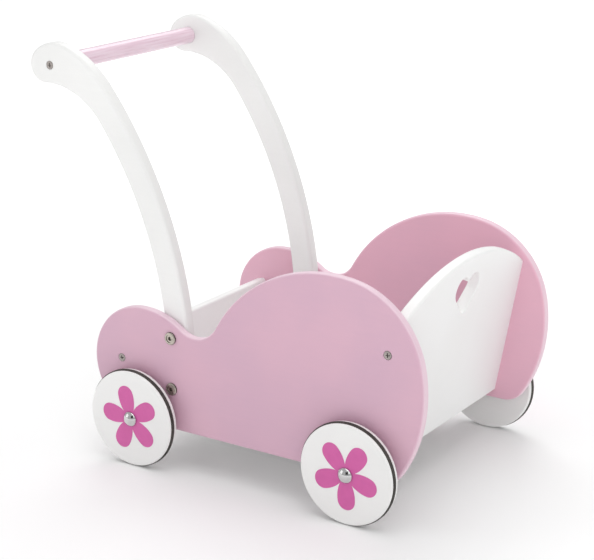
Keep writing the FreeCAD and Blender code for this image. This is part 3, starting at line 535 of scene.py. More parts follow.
# ------------------------------------------------------------------ shader bench
class Number:
    """A number that changes over a surface; arithmetic on it adds Math nodes."""

    def __init__(self, recipe: "Recipe", socket: bpy.types.NodeSocket) -> None:
        """Wrap a socket of a recipe's node."""
        self.recipe = recipe
        self.socket = socket

    def _math(self, operation: str, first: "Number | float", second: "Number | float") -> "Number":
        """Add one Math node on two values."""
        node = self.recipe.node("ShaderNodeMath", {"operation": operation}, {0: first, 1: second})
        return Number(self.recipe, node.outputs[0])

    def __add__(self, other: "Number | float") -> "Number":
        """Sum."""
        return self._math("ADD", self, other)

    def __radd__(self, other: float) -> "Number":
        """Sum with a plain number first."""
        return self._math("ADD", other, self)

    def __sub__(self, other: "Number | float") -> "Number":
        """Difference."""
        return self._math("SUBTRACT", self, other)

    def __rsub__(self, other: float) -> "Number":
        """Difference from a plain number."""
        return self._math("SUBTRACT", other, self)

    def __mul__(self, other: "Number | float") -> "Number":
        """Product."""
        return self._math("MULTIPLY", self, other)

    def __rmul__(self, other: float) -> "Number":
        """Product with a plain number first."""
        return self._math("MULTIPLY", other, self)

    def __pow__(self, other: float) -> "Number":
        """Power."""
        return self._math("POWER", self, other)

    def __abs__(self) -> "Number":
        """Size without the sign."""
        return self._math("ABSOLUTE", self, 0.0)

    def sine(self) -> "Number":
        """Sine of an angle in radians."""
        return self._math("SINE", self, 0.0)

    def between(self, low: float, high: float) -> "Number":
        """Map to 0 below a low value and 1 above a high one, smooth between them.

        Args:
            low: The value that becomes 0.
            high: The value that becomes 1.

        Returns:
            The mapped number.
        """
        settings = {"interpolation_type": "SMOOTHSTEP"}
        node = self.recipe.node("ShaderNodeMapRange", settings,
                                {"Value": self, "From Min": low, "From Max": high})
        return Number(self.recipe, node.outputs["Result"])


@dataclass(frozen=True)
class Grain:
    """Noise in a finish: waves to the metre, octaves, and the share of the waves on each axis."""

    waves: float
    octaves: float = 2.0
    stretch: Place = (1.0, 1.0, 1.0)


class Recipe:
    """A node material under construction on the Principled shader."""

    def __init__(self, name: str) -> None:
        """Start a material with its shader and its object coordinates.

        Args:
            name: The material's name.
        """
        self.material = bpy.data.materials.new(name)
        self.material.use_nodes = True
        self.tree = self.material.node_tree
        self.shader = self.tree.nodes["Principled BSDF"]
        self.coordinates = self.node("ShaderNodeTexCoord")
        self.place = self.coordinates.outputs["Object"]

    def node(self, kind: str, settings: dict[str, object] | None = None,
             inputs: dict[str | int, object] | None = None) -> bpy.types.Node:
        """Add a node.

        Args:
            kind: The node's type.
            settings: Its properties, which are set first.
            inputs: The value or link of each socket, by its name or number.

        Returns:
            The node.
        """
        node = self.tree.nodes.new(kind)
        for name, value in (settings or {}).items():
            setattr(node, name, value)
        for key, value in (inputs or {}).items():
            self.feed(node.inputs[key], value)
        return node

    def feed(self, socket: bpy.types.NodeSocket, value: object) -> None:
        """Set a socket to a plain value, or link it.

        Args:
            socket: The socket to feed.
            value: A plain value, a number or another socket.
        """
        if isinstance(value, Number):
            self.tree.links.new(value.socket, socket)
        elif isinstance(value, bpy.types.NodeSocket):
            self.tree.links.new(value, socket)
        else:
            socket.default_value = value

    def noise(self, grain: Grain) -> Number:
        """Lay noise from 0 to 1 over the piece.

        Args:
            grain: Its scale and direction.

        Returns:
            The noise.
        """
        mapped = self.node("ShaderNodeMapping", None,
                           {"Vector": self.place, "Scale": grain.stretch})
        node = self.node("ShaderNodeTexNoise", None, {
            "Vector": mapped.outputs["Vector"], "Scale": grain.waves, "Detail": grain.octaves})
        return Number(self, node.outputs[0])

    def axis(self, letter: str) -> Number:
        """Give one object coordinate in metres."""
        split = self.node("ShaderNodeSeparateXYZ", None, {0: self.place})
        return Number(self, split.outputs[letter])

    def facing(self, way: "Way") -> Number:
        """Give how squarely the surface looks one way or straight back.

        Args:
            way: The way that the broad faces look.

        Returns:
            1 on the broad faces, 0 on the rims.
        """
        product = self.node("ShaderNodeVectorMath", {"operation": "DOT_PRODUCT"},
                            {0: self.coordinates.outputs["Normal"], 1: way.value})
        return abs(Number(self, product.outputs["Value"]))

    def mix(self, first: object, second: object, share: Number | float) -> bpy.types.NodeSocket:
        """Mix two colours.

        Args:
            first: Colour at share 0, as red, green and blue or a socket.
            second: Colour at share 1.
            share: The share of the second.

        Returns:
            The mixed colour's socket.
        """
        wide = [(*colour, 1.0) if isinstance(colour, tuple) else colour
                for colour in (first, second)]
        factor, a, b = 0, 6, 7
        node = self.node("ShaderNodeMix", {"data_type": "RGBA"},
                         {factor: share, a: wide[0], b: wide[1]})
        return node.outputs[2]

    def surface(self, **inputs: object) -> "Recipe":
        """Feed the shader's own sockets.

        Args:
            **inputs: A value or link for each socket; an underscore stands for a space.

        Returns:
            This recipe.
        """
        for name, value in inputs.items():
            wide = (*value, 1.0) if isinstance(value, tuple) else value
            self.feed(self.shader.inputs[name.replace("_", " ").title()], wide)
        return self

    def relief(self, height: Number, depth: float) -> "Recipe":
        """Bump the surface.

        Args:
            height: The relief, from 0 to 1.
            depth: Its depth in metres.

        Returns:
            This recipe.
        """
        bump = self.node("ShaderNodeBump", None,
                         {"Strength": 1.0, "Distance": depth, "Height": height})
        self.feed(self.shader.inputs["Normal"], bump.outputs["Normal"])
        return self


class Way(Enum):
    """The direction that a painted board's two broad faces look in."""

    ACROSS = (0.0, 1.0, 0.0)
    LEVEL = (0.0, 0.0, 1.0)
    FORWARD = (1.0, 0.0, 0.0)


@dataclass(frozen=True)
class BoardPaint:
    """Satin paint sprayed on fibreboard: it drifts a little, and its routed edges are mixed towards
    an edge colour that is partly thinner paint and partly a painted highlight (on the white arms a
    painted shade, the edges going darker than the faces).
    """

    name: str
    slot: str
    colour: Colour
    drift: Colour
    # Colour of the routed edges: partly thinner paint, partly a painted highlight; on the arms it
    # is darker than the faces, a painted shade.
    edge: Colour
    faces: Way
    edge_share: float = 0.7
    edge_range: Point = (0.02, 0.55)
    cloud: Grain = Grain(10.0, 3.0)
    cloud_range: Point = (0.3, 0.7)
    cloud_share: float = 0.65
    fibre: Grain = Grain(420.0, 3.0, (0.08, 0.5, 1.0))
    fibre_share: float = 0.35
    fibre_relief: float = 0.55
    fibre_roughness: float = 0.12
    peel: Grain = Grain(850.0, 1.0)
    peel_relief: float = 0.45
    peel_roughness: float = 0.10
    roughness: float = 0.42
    coat: float = 0.12
    coat_roughness: float = 0.3
    depth: float = 0.06 * MM
    # Painted bounce light: towards the pram's left (+Y) the board colour leans to a brighter,
    # warmer pink, standing in for light bounced between the pink panels inside the body.
    bounce_light_colour: Colour = (1.0, 1.0, 1.0)
    bounce_light_share: float = 0.0
    bounce_light_range: Point = (-0.06, 0.10)
    bounce_light_drift: float = 0.4

    def material(self) -> bpy.types.Material:
        """Make the material.

        Returns:
            The material.
        """
        recipe = Recipe(self.name)
        cloud = recipe.noise(self.cloud)
        fibre = recipe.noise(self.fibre)
        peel = recipe.noise(self.peel)
        share = cloud.between(*self.cloud_range) * self.cloud_share + fibre * self.fibre_share
        # Painted bounce light: share of the warmer pink, by place across the pram.
        lean = recipe.axis("Y").between(*self.bounce_light_range) * self.bounce_light_share
        body = recipe.mix(recipe.mix(self.colour, self.drift, share), self.bounce_light_colour,
                          lean * (1 - share * self.bounce_light_drift))
        # Painted highlight round the routed edges (painted shade on the arms), partly thinner
        # paint: strongest where the surface turns away from the broad faces.
        rim = 1 - recipe.facing(self.faces)
        colour = recipe.mix(body, self.edge, rim.between(*self.edge_range) * self.edge_share)
        rough = (self.roughness + (peel - 0.5) * self.peel_roughness
                 + (fibre - 0.5) * self.fibre_roughness)
        recipe.surface(base_color=colour, roughness=rough, coat_weight=self.coat,
                       coat_roughness=self.coat_roughness)
        recipe.relief(fibre * self.fibre_relief + peel * self.peel_relief, self.depth)
        return recipe.material


@dataclass(frozen=True)
class RodPaint:
    """Paint on the turned grip, with its long grain just showing through."""

    name: str = "grip_paint_gloss"
    slot: str = "grip_paint"
    colour: Colour = (0.72, 0.50, 0.60)
    drift: Colour = (0.83, 0.68, 0.76)
    grain: Grain = Grain(650.0, 3.0, (1.0, 0.03, 1.0))
    grain_range: Point = (0.3, 0.7)
    grain_share: float = 0.7
    grain_roughness: float = 0.16
    cloud: Grain = Grain(25.0, 2.0)
    cloud_share: float = 0.3
    roughness: float = 0.3
    coat: float = 0.5
    coat_roughness: float = 0.22
    depth: float = 0.05 * MM

    def material(self) -> bpy.types.Material:
        """Make the material.

        Returns:
            The material.
        """
        recipe = Recipe(self.name)
        grain = recipe.noise(self.grain)
        cloud = recipe.noise(self.cloud)
        share = grain.between(*self.grain_range) * self.grain_share + cloud * self.cloud_share
        recipe.surface(base_color=recipe.mix(self.colour, self.drift, share),
                       roughness=self.roughness + (grain - 0.5) * self.grain_roughness,
                       coat_weight=self.coat, coat_roughness=self.coat_roughness)
        recipe.relief(grain, self.depth)
        return recipe.material


@dataclass(frozen=True)
class Rubber:
    """Matt black ring: fine moulded lines round its tread and a dusty bloom."""

    name: str = "matt_rubber"
    slot: str = "rubber"
    colour: Colour = (0.036, 0.032, 0.028)
    dusty: Colour = (0.085, 0.078, 0.070)
    speckle: Grain = Grain(1500.0, 3.0)
    speckle_share: float = 0.2
    speckle_relief: float = 0.4
    bloom: Grain = Grain(45.0, 3.0)
    bloom_range: Point = (0.35, 0.75)
    bloom_share: float = 0.6
    bloom_roughness: float = 0.25
    roughness: float = 0.62
    line_pitch: float = 0.45 * MM
    line_relief: float = 0.6
    depth: float = 0.06 * MM

    def material(self) -> bpy.types.Material:
        """Make the material.

        Returns:
            The material.
        """
        recipe = Recipe(self.name)
        speckle = recipe.noise(self.speckle)
        bloom = recipe.noise(self.bloom)
        lines = (recipe.axis("Y") * (FULL_TURN / self.line_pitch)).sine() * 0.5 + 0.5
        share = bloom.between(*self.bloom_range) * self.bloom_share + speckle * self.speckle_share
        recipe.surface(base_color=recipe.mix(self.colour, self.dusty, share),
                       roughness=self.roughness + bloom * self.bloom_roughness)
        recipe.relief(lines * self.line_relief + speckle * self.speckle_relief, self.depth)
        return recipe.material


@dataclass(frozen=True)
class Plated:
    """Plated steel, brushed or bright, with a faint bloom of handling, and painted shade darkening
    the surfaces that don't face across (head rims, sockets and recesses).
    """

    name: str
    slot: str
    colour: Colour
    tarnish: Colour
    roughness: float
    spread: float
    depth: float
    brush: Grain = Grain(2200.0, 3.0)
    bloom: Grain = Grain(160.0, 3.0)
    bloom_range: Point = (0.35, 0.8)
    bloom_share: float = 0.7
    bloom_roughness: float = 0.5
    # Painted shade: colour that darkens head rims, socket sides and recesses.
    painted_shade: Colour = (0.05, 0.045, 0.04)
    painted_shade_share: float = 0.0
    wall_range: Point = (0.3, 0.68)

    def material(self) -> bpy.types.Material:
        """Make the material.

        Returns:
            The material.
        """
        recipe = Recipe(self.name)
        brush = recipe.noise(self.brush)
        bloom = recipe.noise(self.bloom)
        bare = recipe.mix(self.colour, self.tarnish,
                          bloom.between(*self.bloom_range) * self.bloom_share)
        # Painted shade on surfaces that don't face across the pram: head rims, sockets and cross
        # recesses.
        walls = 1 - recipe.facing(Way.ACROSS).between(*self.wall_range)
        colour = recipe.mix(bare, self.painted_shade, walls * self.painted_shade_share)
        rough = self.roughness + brush * self.spread + bloom * self.spread * self.bloom_roughness
        recipe.surface(base_color=colour, metallic=1.0, roughness=rough)
        recipe.relief(brush, self.depth)
        return recipe.material


@dataclass(frozen=True)
class FlowerPrint:
    """Magenta screen print, a touch uneven where the ink lay thicker."""

    name: str = "magenta_print"
    slot: str = "flower_print"
    colour: Colour = (0.64, 0.115, 0.37)
    thick: Colour = (0.585, 0.10, 0.335)
    cloud: Grain = Grain(110.0, 3.0)
    cloud_range: Point = (0.3, 0.75)
    cloud_share: float = 0.6
    mesh: Grain = Grain(2600.0, 2.0)
    mesh_share: float = 0.25
    mesh_roughness: float = 0.14
    roughness: float = 0.36
    depth: float = 0.02 * MM

    def material(self) -> bpy.types.Material:
        """Make the material.

        Returns:
            The material.
        """
        recipe = Recipe(self.name)
        cloud = recipe.noise(self.cloud)
        mesh = recipe.noise(self.mesh)
        share = cloud.between(*self.cloud_range) * self.cloud_share + mesh * self.mesh_share
        recipe.surface(base_color=recipe.mix(self.colour, self.thick, share),
                       roughness=self.roughness + mesh * self.mesh_roughness)
        recipe.relief(mesh, self.depth)
        return recipe.material


@dataclass(frozen=True)
class Nylon:
    """Off-white moulded nylon, faintly cloudy."""

    name: str = "moulded_nylon"
    slot: str = "nylon"
    colour: Colour = (0.80, 0.79, 0.75)
    milky: Colour = (0.86, 0.85, 0.82)
    cloud: Grain = Grain(220.0, 3.0)
    fine: Grain = Grain(1900.0, 2.0)
    fine_roughness: float = 0.15
    roughness: float = 0.45
    depth: float = 0.02 * MM

    def material(self) -> bpy.types.Material:
        """Make the material.

        Returns:
            The material.
        """
        recipe = Recipe(self.name)
        cloud = recipe.noise(self.cloud)
        fine = recipe.noise(self.fine)
        recipe.surface(base_color=recipe.mix(self.colour, self.milky, cloud),
                       roughness=self.roughness + fine * self.fine_roughness)
        recipe.relief(fine, self.depth)
        return recipe.material


@dataclass(frozen=True)
class Birch:
    """Bare birch dowel with its grain along Y and fine fluting round it."""

    name: str = "bare_birch"
    slot: str = "bare_wood"
    colour: Colour = (0.62, 0.45, 0.27)
    pale: Colour = (0.76, 0.60, 0.40)
    dark: Colour = (0.55, 0.37, 0.20)
    grain: Grain = Grain(1300.0, 4.0, (1.0, 0.04, 1.0))
    grain_roughness: float = 0.2
    figure: Grain = Grain(160.0, 3.0, (1.0, 0.15, 1.0))
    figure_range: Point = (0.5, 0.8)
    figure_share: float = 0.5
    roughness: float = 0.6
    depth: float = 0.08 * MM

    def material(self) -> bpy.types.Material:
        """Make the material.

        Returns:
            The material.
        """
        recipe = Recipe(self.name)
        grain = recipe.noise(self.grain)
        figure = recipe.noise(self.figure).between(*self.figure_range)
        wood = recipe.mix(self.colour, self.pale, grain)
        recipe.surface(base_color=recipe.mix(wood, self.dark, figure * self.figure_share),
                       roughness=self.roughness + grain * self.grain_roughness)
        recipe.relief(grain, self.depth)
        return recipe.material


PINK: Colour = (0.690, 0.425, 0.525)
LILAC: Colour = (0.615, 0.395, 0.505)
# Brighter, warmer pink painted on the left side panel as bounce light.
BOUNCE_LIGHT_PINK: Colour = (0.800, 0.450, 0.560)
# Edge colour of the pink boards: paler paint plus a painted highlight.
EDGE_PINK_AND_HIGHLIGHT: Colour = (0.84, 0.66, 0.74)
WHITE: Colour = (0.86, 0.86, 0.85)
COOL_WHITE: Colour = (0.885, 0.89, 0.885)
# Edge colour of the white boards and wheels: paler paint plus a painted highlight.
EDGE_WHITE_AND_HIGHLIGHT: Colour = (0.92, 0.92, 0.91)
DISC_WHITE: Colour = (0.80, 0.80, 0.79)
FINISHES = {
    "pink_board": BoardPaint("pink_board_paint", "pink_paint", PINK, LILAC, EDGE_PINK_AND_HIGHLIGHT,
                             Way.ACROSS, bounce_light_colour=BOUNCE_LIGHT_PINK, bounce_light_share=1.0),
    # The arms' edges are mixed back to DISC_WHITE, darker than their faces: painted shade.
    "white_arm": BoardPaint("white_arm_paint", "white_paint", DISC_WHITE, WHITE, DISC_WHITE,
                            Way.ACROSS, edge_share=0.8),
    "white_wheel": BoardPaint("white_wheel_paint", "white_paint", DISC_WHITE, WHITE,
                              EDGE_WHITE_AND_HIGHLIGHT, Way.ACROSS, peel=Grain(1100.0, 1.0)),
    "white_end": BoardPaint("white_end_paint", "white_paint", WHITE, COOL_WHITE, EDGE_WHITE_AND_HIGHLIGHT,
                            Way.FORWARD, edge_share=0.5),
    "white_floor": BoardPaint("white_floor_paint", "white_paint", WHITE, COOL_WHITE,
                              EDGE_WHITE_AND_HIGHLIGHT, Way.LEVEL, edge_share=0.4),
    "grip": RodPaint(),
    "rubber": Rubber(),
    # Bolts and screws carry painted shade on their rims and recesses.
    "nickel": Plated("plated_nickel", "steel", colour=(0.52, 0.475, 0.42),
                     tarnish=(0.34, 0.305, 0.265), roughness=0.16, spread=0.16,
                     depth=0.02 * MM, painted_shade_share=0.9),
    "screw": Plated("plated_screw", "steel", colour=(0.40, 0.365, 0.345),
                    tarnish=(0.24, 0.215, 0.20), roughness=0.25, spread=0.2,
                    depth=0.02 * MM, painted_shade_share=0.95),
    "rod_steel": Plated("drawn_steel", "steel", colour=(0.60, 0.59, 0.57),
                        tarnish=(0.42, 0.40, 0.37), roughness=0.24, spread=0.2,
                        depth=0.02 * MM, brush=Grain(2200.0, 3.0, (1.0, 0.03, 1.0))),
    "chrome": Plated("bright_chrome", "chrome", colour=(0.62, 0.62, 0.62),
                     tarnish=(0.55, 0.55, 0.56), roughness=0.09, spread=0.05,
                     depth=0.004 * MM),
    "print": FlowerPrint(),
    "nylon": Nylon(),
    "birch": Birch(),
}
MADE: dict[str, bpy.types.Material] = {}


def dress(piece: bpy.types.Object, finish: str) -> None:
    """Give a piece one finish all over, making its material the first time it is used.

    Args:
        piece: The piece.
        finish: The name of its finish.
    """
    if finish not in MADE:
        MADE[finish] = FINISHES[finish].material()
    piece.data.materials.clear()
    piece.data.materials.append(MADE[finish])


@dataclass(frozen=True)
class Finished:
    """A finished piece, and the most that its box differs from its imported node's box."""

    piece: bpy.types.Object
    misfit: float = 0.0


def hand_over(piece: bpy.types.Object, node: str, body: str, finish: str) -> Finished:
    """Dress a finished piece and let it ride and stand for its node.

    Args:
        piece: The finished piece.
        node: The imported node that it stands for.
        body: The body that it rides on.
        finish: The name of its finish.

    Returns:
        The piece with how well it fits.
    """
    dress(piece, finish)
    corners = [vertex.co for vertex in piece.data.vertices]
    misfit = max(max(abs(min(c[i] for c in corners) - low), abs(max(c[i] for c in corners) - high))
                 for i, (low, high) in enumerate(zip(*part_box(node))))
    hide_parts(node)
    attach(piece, body)
    return Finished(piece, misfit)


# ------------------------------------------------------------------ shared places
@dataclass(frozen=True)
class Layout:
    """Places that several sub-assemblies share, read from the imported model.

    Side-view points are (forward of the rear axle, above the axle line).
    """

    rear: Vector
    half_body: float
    side_thickness: float
    arm_thickness: float

    @classmethod
    def read(cls) -> "Layout":
        """Read the places.

        Returns:
            The layout.
        """
        panel_low, panel_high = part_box("left_side_panel")
        arm_low, arm_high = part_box("left_handle_arm")
        return cls(End.REAR.hub, panel_high.y, panel_high.y - panel_low.y, arm_high.y - arm_low.y)

    @property
    def wheelbase(self) -> float:
        """Give the distance from the rear axle to the front axle."""
        return End.FRONT.hub.x - self.rear.x

    @property
    def half_inside(self) -> float:
        """Give the distance from the middle to the inner faces of the side panels."""
        return self.half_body - self.side_thickness

    def spot(self, point: Point, across: float = 0.0) -> Vector:
        """Give a side-view point in the pram's frame, at a distance across."""
        return self.rear + Vector((point[0], across, point[1]))

    def shift(self, across: float = 0.0) -> Matrix:
        """Give the placement of a piece that was drawn in the side view."""
        return Matrix.Translation(self.spot((0.0, 0.0), across))


def centre_of(node: str) -> Vector:
    """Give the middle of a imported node's box."""
    low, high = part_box(node)
    return (low + high) / 2


# ------------------------------------------------------------------ fasteners
@dataclass
class Fasteners:
    """Arm bolts with hexagon sockets and countersunk cross-head screws."""

    layout: Layout
    bolts: tuple[Point, ...] = ((39.8 * MM, 34.8 * MM), (39.8 * MM, 88.1 * MM))
    bolt_radius: float = 3.0 * MM
    bolt_length: float = 19.0 * MM
    bolt_foot_ease: float = 0.5 * MM
    bolt_turn: float = 0.25
    head_radius: float = 6.5 * MM
    head_thickness: float = 2.2 * MM
    head_bevel: float = 0.75 * MM
    head_eases: tuple[float, float, float] = (0.2 * MM, 0.25 * MM, 0.3 * MM)
    dish_radius: float = 4.1 * MM
    dish_depth: float = 0.8 * MM
    dish_eases: Point = (0.15 * MM, 0.1 * MM)
    socket_across: float = 4.0 * MM
    socket_depth: float = 1.7 * MM
    screw_length: float = 38.0 * MM
    screw_radius: float = 1.9 * MM
    screw_head: float = 4.1 * MM
    screw_head_depth: float = 2.4 * MM
    screw_rim: float = 0.4 * MM
    screw_eases: Point = (0.1 * MM, 0.38 * MM)
    screw_tip: float = 4.0 * MM
    screw_neck: float = 12.7 * MM
    screw_turn: float = 0.5
    thread_pitch: float = 1.8 * MM
    thread_crest: float = 0.3
    thread_flank: float = 0.6
    thread_depth: float = 0.35 * MM
    cross_span: float = 4.6 * MM
    cross_width: float = 1.0 * MM
    cross_depth: float = 1.6 * MM
    cross_taper: float = 0.45
    seat_gap: float = 0.12 * MM
    seat_ring: float = 0.45 * MM
    turn_step: float = 1.3
    turn_of_side: float = 0.4

    def bolt(self) -> bpy.types.Object:
        """Make a furniture bolt: bevelled flat head with a dished middle and a hexagon socket.

        Returns:
            The bolt, its head's seat at the origin.
        """
        top, rim, foot = self.head_thickness, self.head_radius, -self.bolt_length
        floor = top - self.dish_depth
        under, wall, crown = self.head_eases
        lip, hollow = self.dish_eases
        piece = lathe("bolt_model", [
            (0.0, foot), (self.bolt_radius, foot, self.bolt_foot_ease), (self.bolt_radius, 0.0),
            (rim, 0.0, under), (rim, top - self.head_bevel, wall),
            (rim - self.head_bevel, top, crown), (self.dish_radius, top, lip),
            (self.dish_radius, floor, hollow), (0.0, floor),
        ], steps=72)
        Bench.clear()
        bpy.ops.mesh.primitive_cylinder_add(
            vertices=6, radius=self.socket_across / math.sqrt(3), depth=2 * self.socket_depth,
            location=(0, floor, 0), rotation=(math.pi / 2, 0, 0))
        socket = bpy.context.object
        bpy.ops.object.transform_apply(location=True, rotation=True)
        Bench.cut(piece, [socket])
        return Bench.polish(piece)

    def screw(self) -> bpy.types.Object:
        """Make a countersunk wood screw: cross recess, plain neck, thread and point.

        Returns:
            The screw, the middle of its head's face at the origin.
        """
        root = self.screw_radius - self.thread_depth
        crest = self.thread_pitch * self.thread_crest
        flank = self.thread_pitch * self.thread_flank
        place = self.screw_tip - self.screw_length
        corners: list[Sequence[float]] = [(0.0, -self.screw_length), (root, place)]
        while place < -self.screw_neck:
            corners += [(self.screw_radius, place + crest), (root, place + flank),
                        (root, place + self.thread_pitch)]
            place += self.thread_pitch
        rim_ease, crown_ease = self.screw_eases
        corners += [
            (self.screw_radius, place + crest), (self.screw_radius, -self.screw_head_depth),
            (self.screw_head, -self.screw_rim, rim_ease), (self.screw_head, 0.0, crown_ease),
            (0.0, 0.0),
        ]
        piece = lathe("screw_model", corners, steps=40)
        Bench.cut(piece, [self.cross_arm(0.0), self.cross_arm(math.pi / 2)])
        return Bench.polish(piece)

    def cross_arm(self, turn: float) -> bpy.types.Object:
        """Make a tapered blade that cuts one bar of a screw's cross recess.

        Args:
            turn: Angle that it is turned about the screw's axis.

        Returns:
            The cutter.
        """
        half, deep = self.cross_span / 2, self.cross_depth
        point = half * self.cross_taper
        blade = Outline("blade", Plane.SECTION, (-half, MM))
        for spot in ((half, MM), (half, 0.0), (point, -deep), (-point, -deep), (-half, 0.0),
                     (-half, MM)):
            blade.line(spot)
        piece = blade.board(Vector((0, 0, self.cross_width)))
        Bench.moved(piece, Matrix.Translation((0, 0, -self.cross_width / 2)))
        return Bench.moved(piece, Matrix.Rotation(turn, 4, "Y"))

    def seat(self, point: Point, face: float, side: Side) -> bpy.types.Object:
        """Make a cutter for a screw's countersink and clearance hole, in the side view.

        Args:
            point: The screw's place in the side view.
            face: The board's outer face, across the pram.
            side: The side it is on.

        Returns:
            The cutter.
        """
        drill, mouth = self.screw_radius + self.seat_gap, self.screw_head + self.seat_ring
        cutter = lathe("seat", [
            (0.0, -self.screw_length), (drill, -self.screw_length),
            (drill, -self.screw_head_depth), (mouth, -self.screw_rim), (mouth, MM), (0.0, MM),
        ], steps=48)
        return Bench.moved(cutter, facing(side, Vector((point[0], face, point[1]))))

    def hole(self, point: Point, radius: float, depth: float) -> bpy.types.Object:
        """Make a plain drill across the pram at a side-view point.

        Args:
            point: The hole's place in the side view.
            radius: The drill's radius.
            depth: How far it reaches either side of the middle.

        Returns:
            The cutter.
        """
        drill = lathe("drill", [(0.0, -depth), (radius, -depth), (radius, depth), (0.0, depth)],
                      steps=48)
        return Bench.moved(drill, Matrix.Translation((point[0], 0.0, point[1])))

    def group(self, node: str, model: bpy.types.Object, points: Sequence[Point],
              across: float, finish: str, turn: float) -> Finished:
        """Copy a fastener to its places on both sides and hand the set over as one piece.

        Args:
            node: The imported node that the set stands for.
            model: The fastener made once.
            points: Side-view places.
            across: Distance of the heads' seats from the middle.
            finish: The name of the set's finish.
            turn: How far the first one is turned about its own axis.

        Returns:
            The set.
        """
        placements = [facing(side, self.layout.spot(point, side.value * across),
                             turn + index * self.turn_step + side.value * self.turn_of_side)
                      for side in Side for index, point in enumerate(points)]
        names = [f"{node}_{number}" for number in range(len(placements))]
        made = Bench.joined(Bench.copies(model, names, placements), f"plated_{node}")
        return hand_over(made, node, PRAM_BODY, finish)

    def build(self) -> list[Finished]:
        """Make every bolt and screw.

        Returns:
            The four sets.
        """
        outside, inside = self.layout.half_body, self.layout.half_inside
        sets = [self.group("arm_bolts", self.bolt(), self.bolts, outside, "nickel",
                           self.bolt_turn)]
        for node, across in (("front_board_screws", outside), ("rear_board_screws", outside),
                             ("grip_screws", inside)):
            middle = centre_of(node) - self.layout.rear
            sets.append(self.group(node, self.screw(), [(middle.x, middle.z)], across, "screw",
                                   self.screw_turn))
        return sets


# ------------------------------------------------------------------ side panels
@dataclass
class SidePanels:
    """Two curved side panels: rear lobe, dip, tall hood and rounded toe."""

    layout: Layout
    fasteners: Fasteners
    rounding: float = 3.0 * MM
    drop: float = 8.7 * MM
    lobe_x: float = 3.4 * MM
    lobe_radius: float = 61.0 * MM
    shoulder_radius: float = 80.0 * MM
    dip_x: float = 68.0 * MM
    dip_height: float = 93.0 * MM
    dip_radius: float = 29.0 * MM
    hood_setback: float = 20.6 * MM
    hood_height: float = 92.7 * MM
    hood_radius: float = 91.0 * MM
    hood_back_radius: float = 150.0 * MM
    nose_radius: float = 147.5 * MM
    nose_drop: float = 10.4 * MM
    toe_radius: float = 25.0 * MM
    axle_hole: float = 4.05 * MM

    def outline(self, name: str) -> Outline:
        """Draw the panel's outline in the side view.

        Args:
            name: The panel's name.

        Returns:
            The outline.
        """
        lobe = (self.lobe_x, self.lobe_radius - self.drop)
        dip = (self.dip_x, self.dip_height + self.dip_radius)
        hood = (self.layout.wheelbase - self.hood_setback, self.hood_height)
        nose_gap = self.nose_radius - self.hood_radius
        nose = (hood[0] - math.sqrt(nose_gap ** 2 - self.nose_drop ** 2),
                hood[1] - self.nose_drop)
        shoulder = circles_meet(lobe, self.shoulder_radius - self.lobe_radius, dip,
                                self.shoulder_radius + self.dip_radius, -1)
        back = circles_meet(hood, self.hood_back_radius - self.hood_radius, dip,
                            self.hood_back_radius + self.dip_radius, +1)
        toe_height = self.toe_radius - self.drop
        toe_reach = math.sqrt((self.nose_radius - self.toe_radius) ** 2
                              - (toe_height - nose[1]) ** 2)
        toe = (nose[0] + toe_reach, toe_height)
        outline = Outline(name, Plane.SIDE, (lobe[0], -self.drop))
        outline.line((toe[0], -self.drop))
        outline.arc(toe, reach(nose, toe, self.nose_radius), 1)
        outline.arc(nose, reach(nose, hood, self.nose_radius), 1)
        outline.arc(hood, reach(back, hood, self.hood_back_radius), 1)
        outline.arc(back, reach(dip, back, self.dip_radius), 1)
        outline.arc(dip, reach(dip, shoulder, self.dip_radius), -1)
        outline.arc(shoulder, reach(shoulder, lobe, self.shoulder_radius), 1)
        return outline.arc(lobe, (lobe[0], -self.drop), 1)

    def panel(self, side: Side) -> Finished:
        """Make one panel, round both its edges and drill what shows.

        Args:
            side: The side that it is on.

        Returns:
            The panel.
        """
        layout, fasteners = self.layout, self.fasteners
        out = side.value * layout.side_thickness
        piece = self.outline(f"painted_{side.word}_side_panel").board(Vector((0, out, 0)))
        Bench.round_edges(piece, self.rounding, lambda a, b: abs(a.y - b.y) < TOUCH)
        cutters = []
        for node in ("front_board_screws", "rear_board_screws"):
            middle = centre_of(node) - layout.rear
            cutters.append(fasteners.seat((middle.x, middle.z), out, side))
        depth = 3 * layout.side_thickness
        for point in ((0.0, 0.0), (layout.wheelbase, 0.0)):
            cutters.append(fasteners.hole(point, self.axle_hole, depth))
        for point in fasteners.bolts:
            cutters.append(fasteners.hole(point, fasteners.bolt_radius + fasteners.seat_gap,
                                          depth))
        Bench.cut(piece, cutters)
        Bench.moved(piece, layout.shift(side.value * layout.half_inside))
        Bench.polish(piece)
        return hand_over(piece, f"{side.word}_side_panel", PRAM_BODY, "pink_board")

    def build(self) -> list[Finished]:
        """Make both panels."""
        return [self.panel(side) for side in Side]


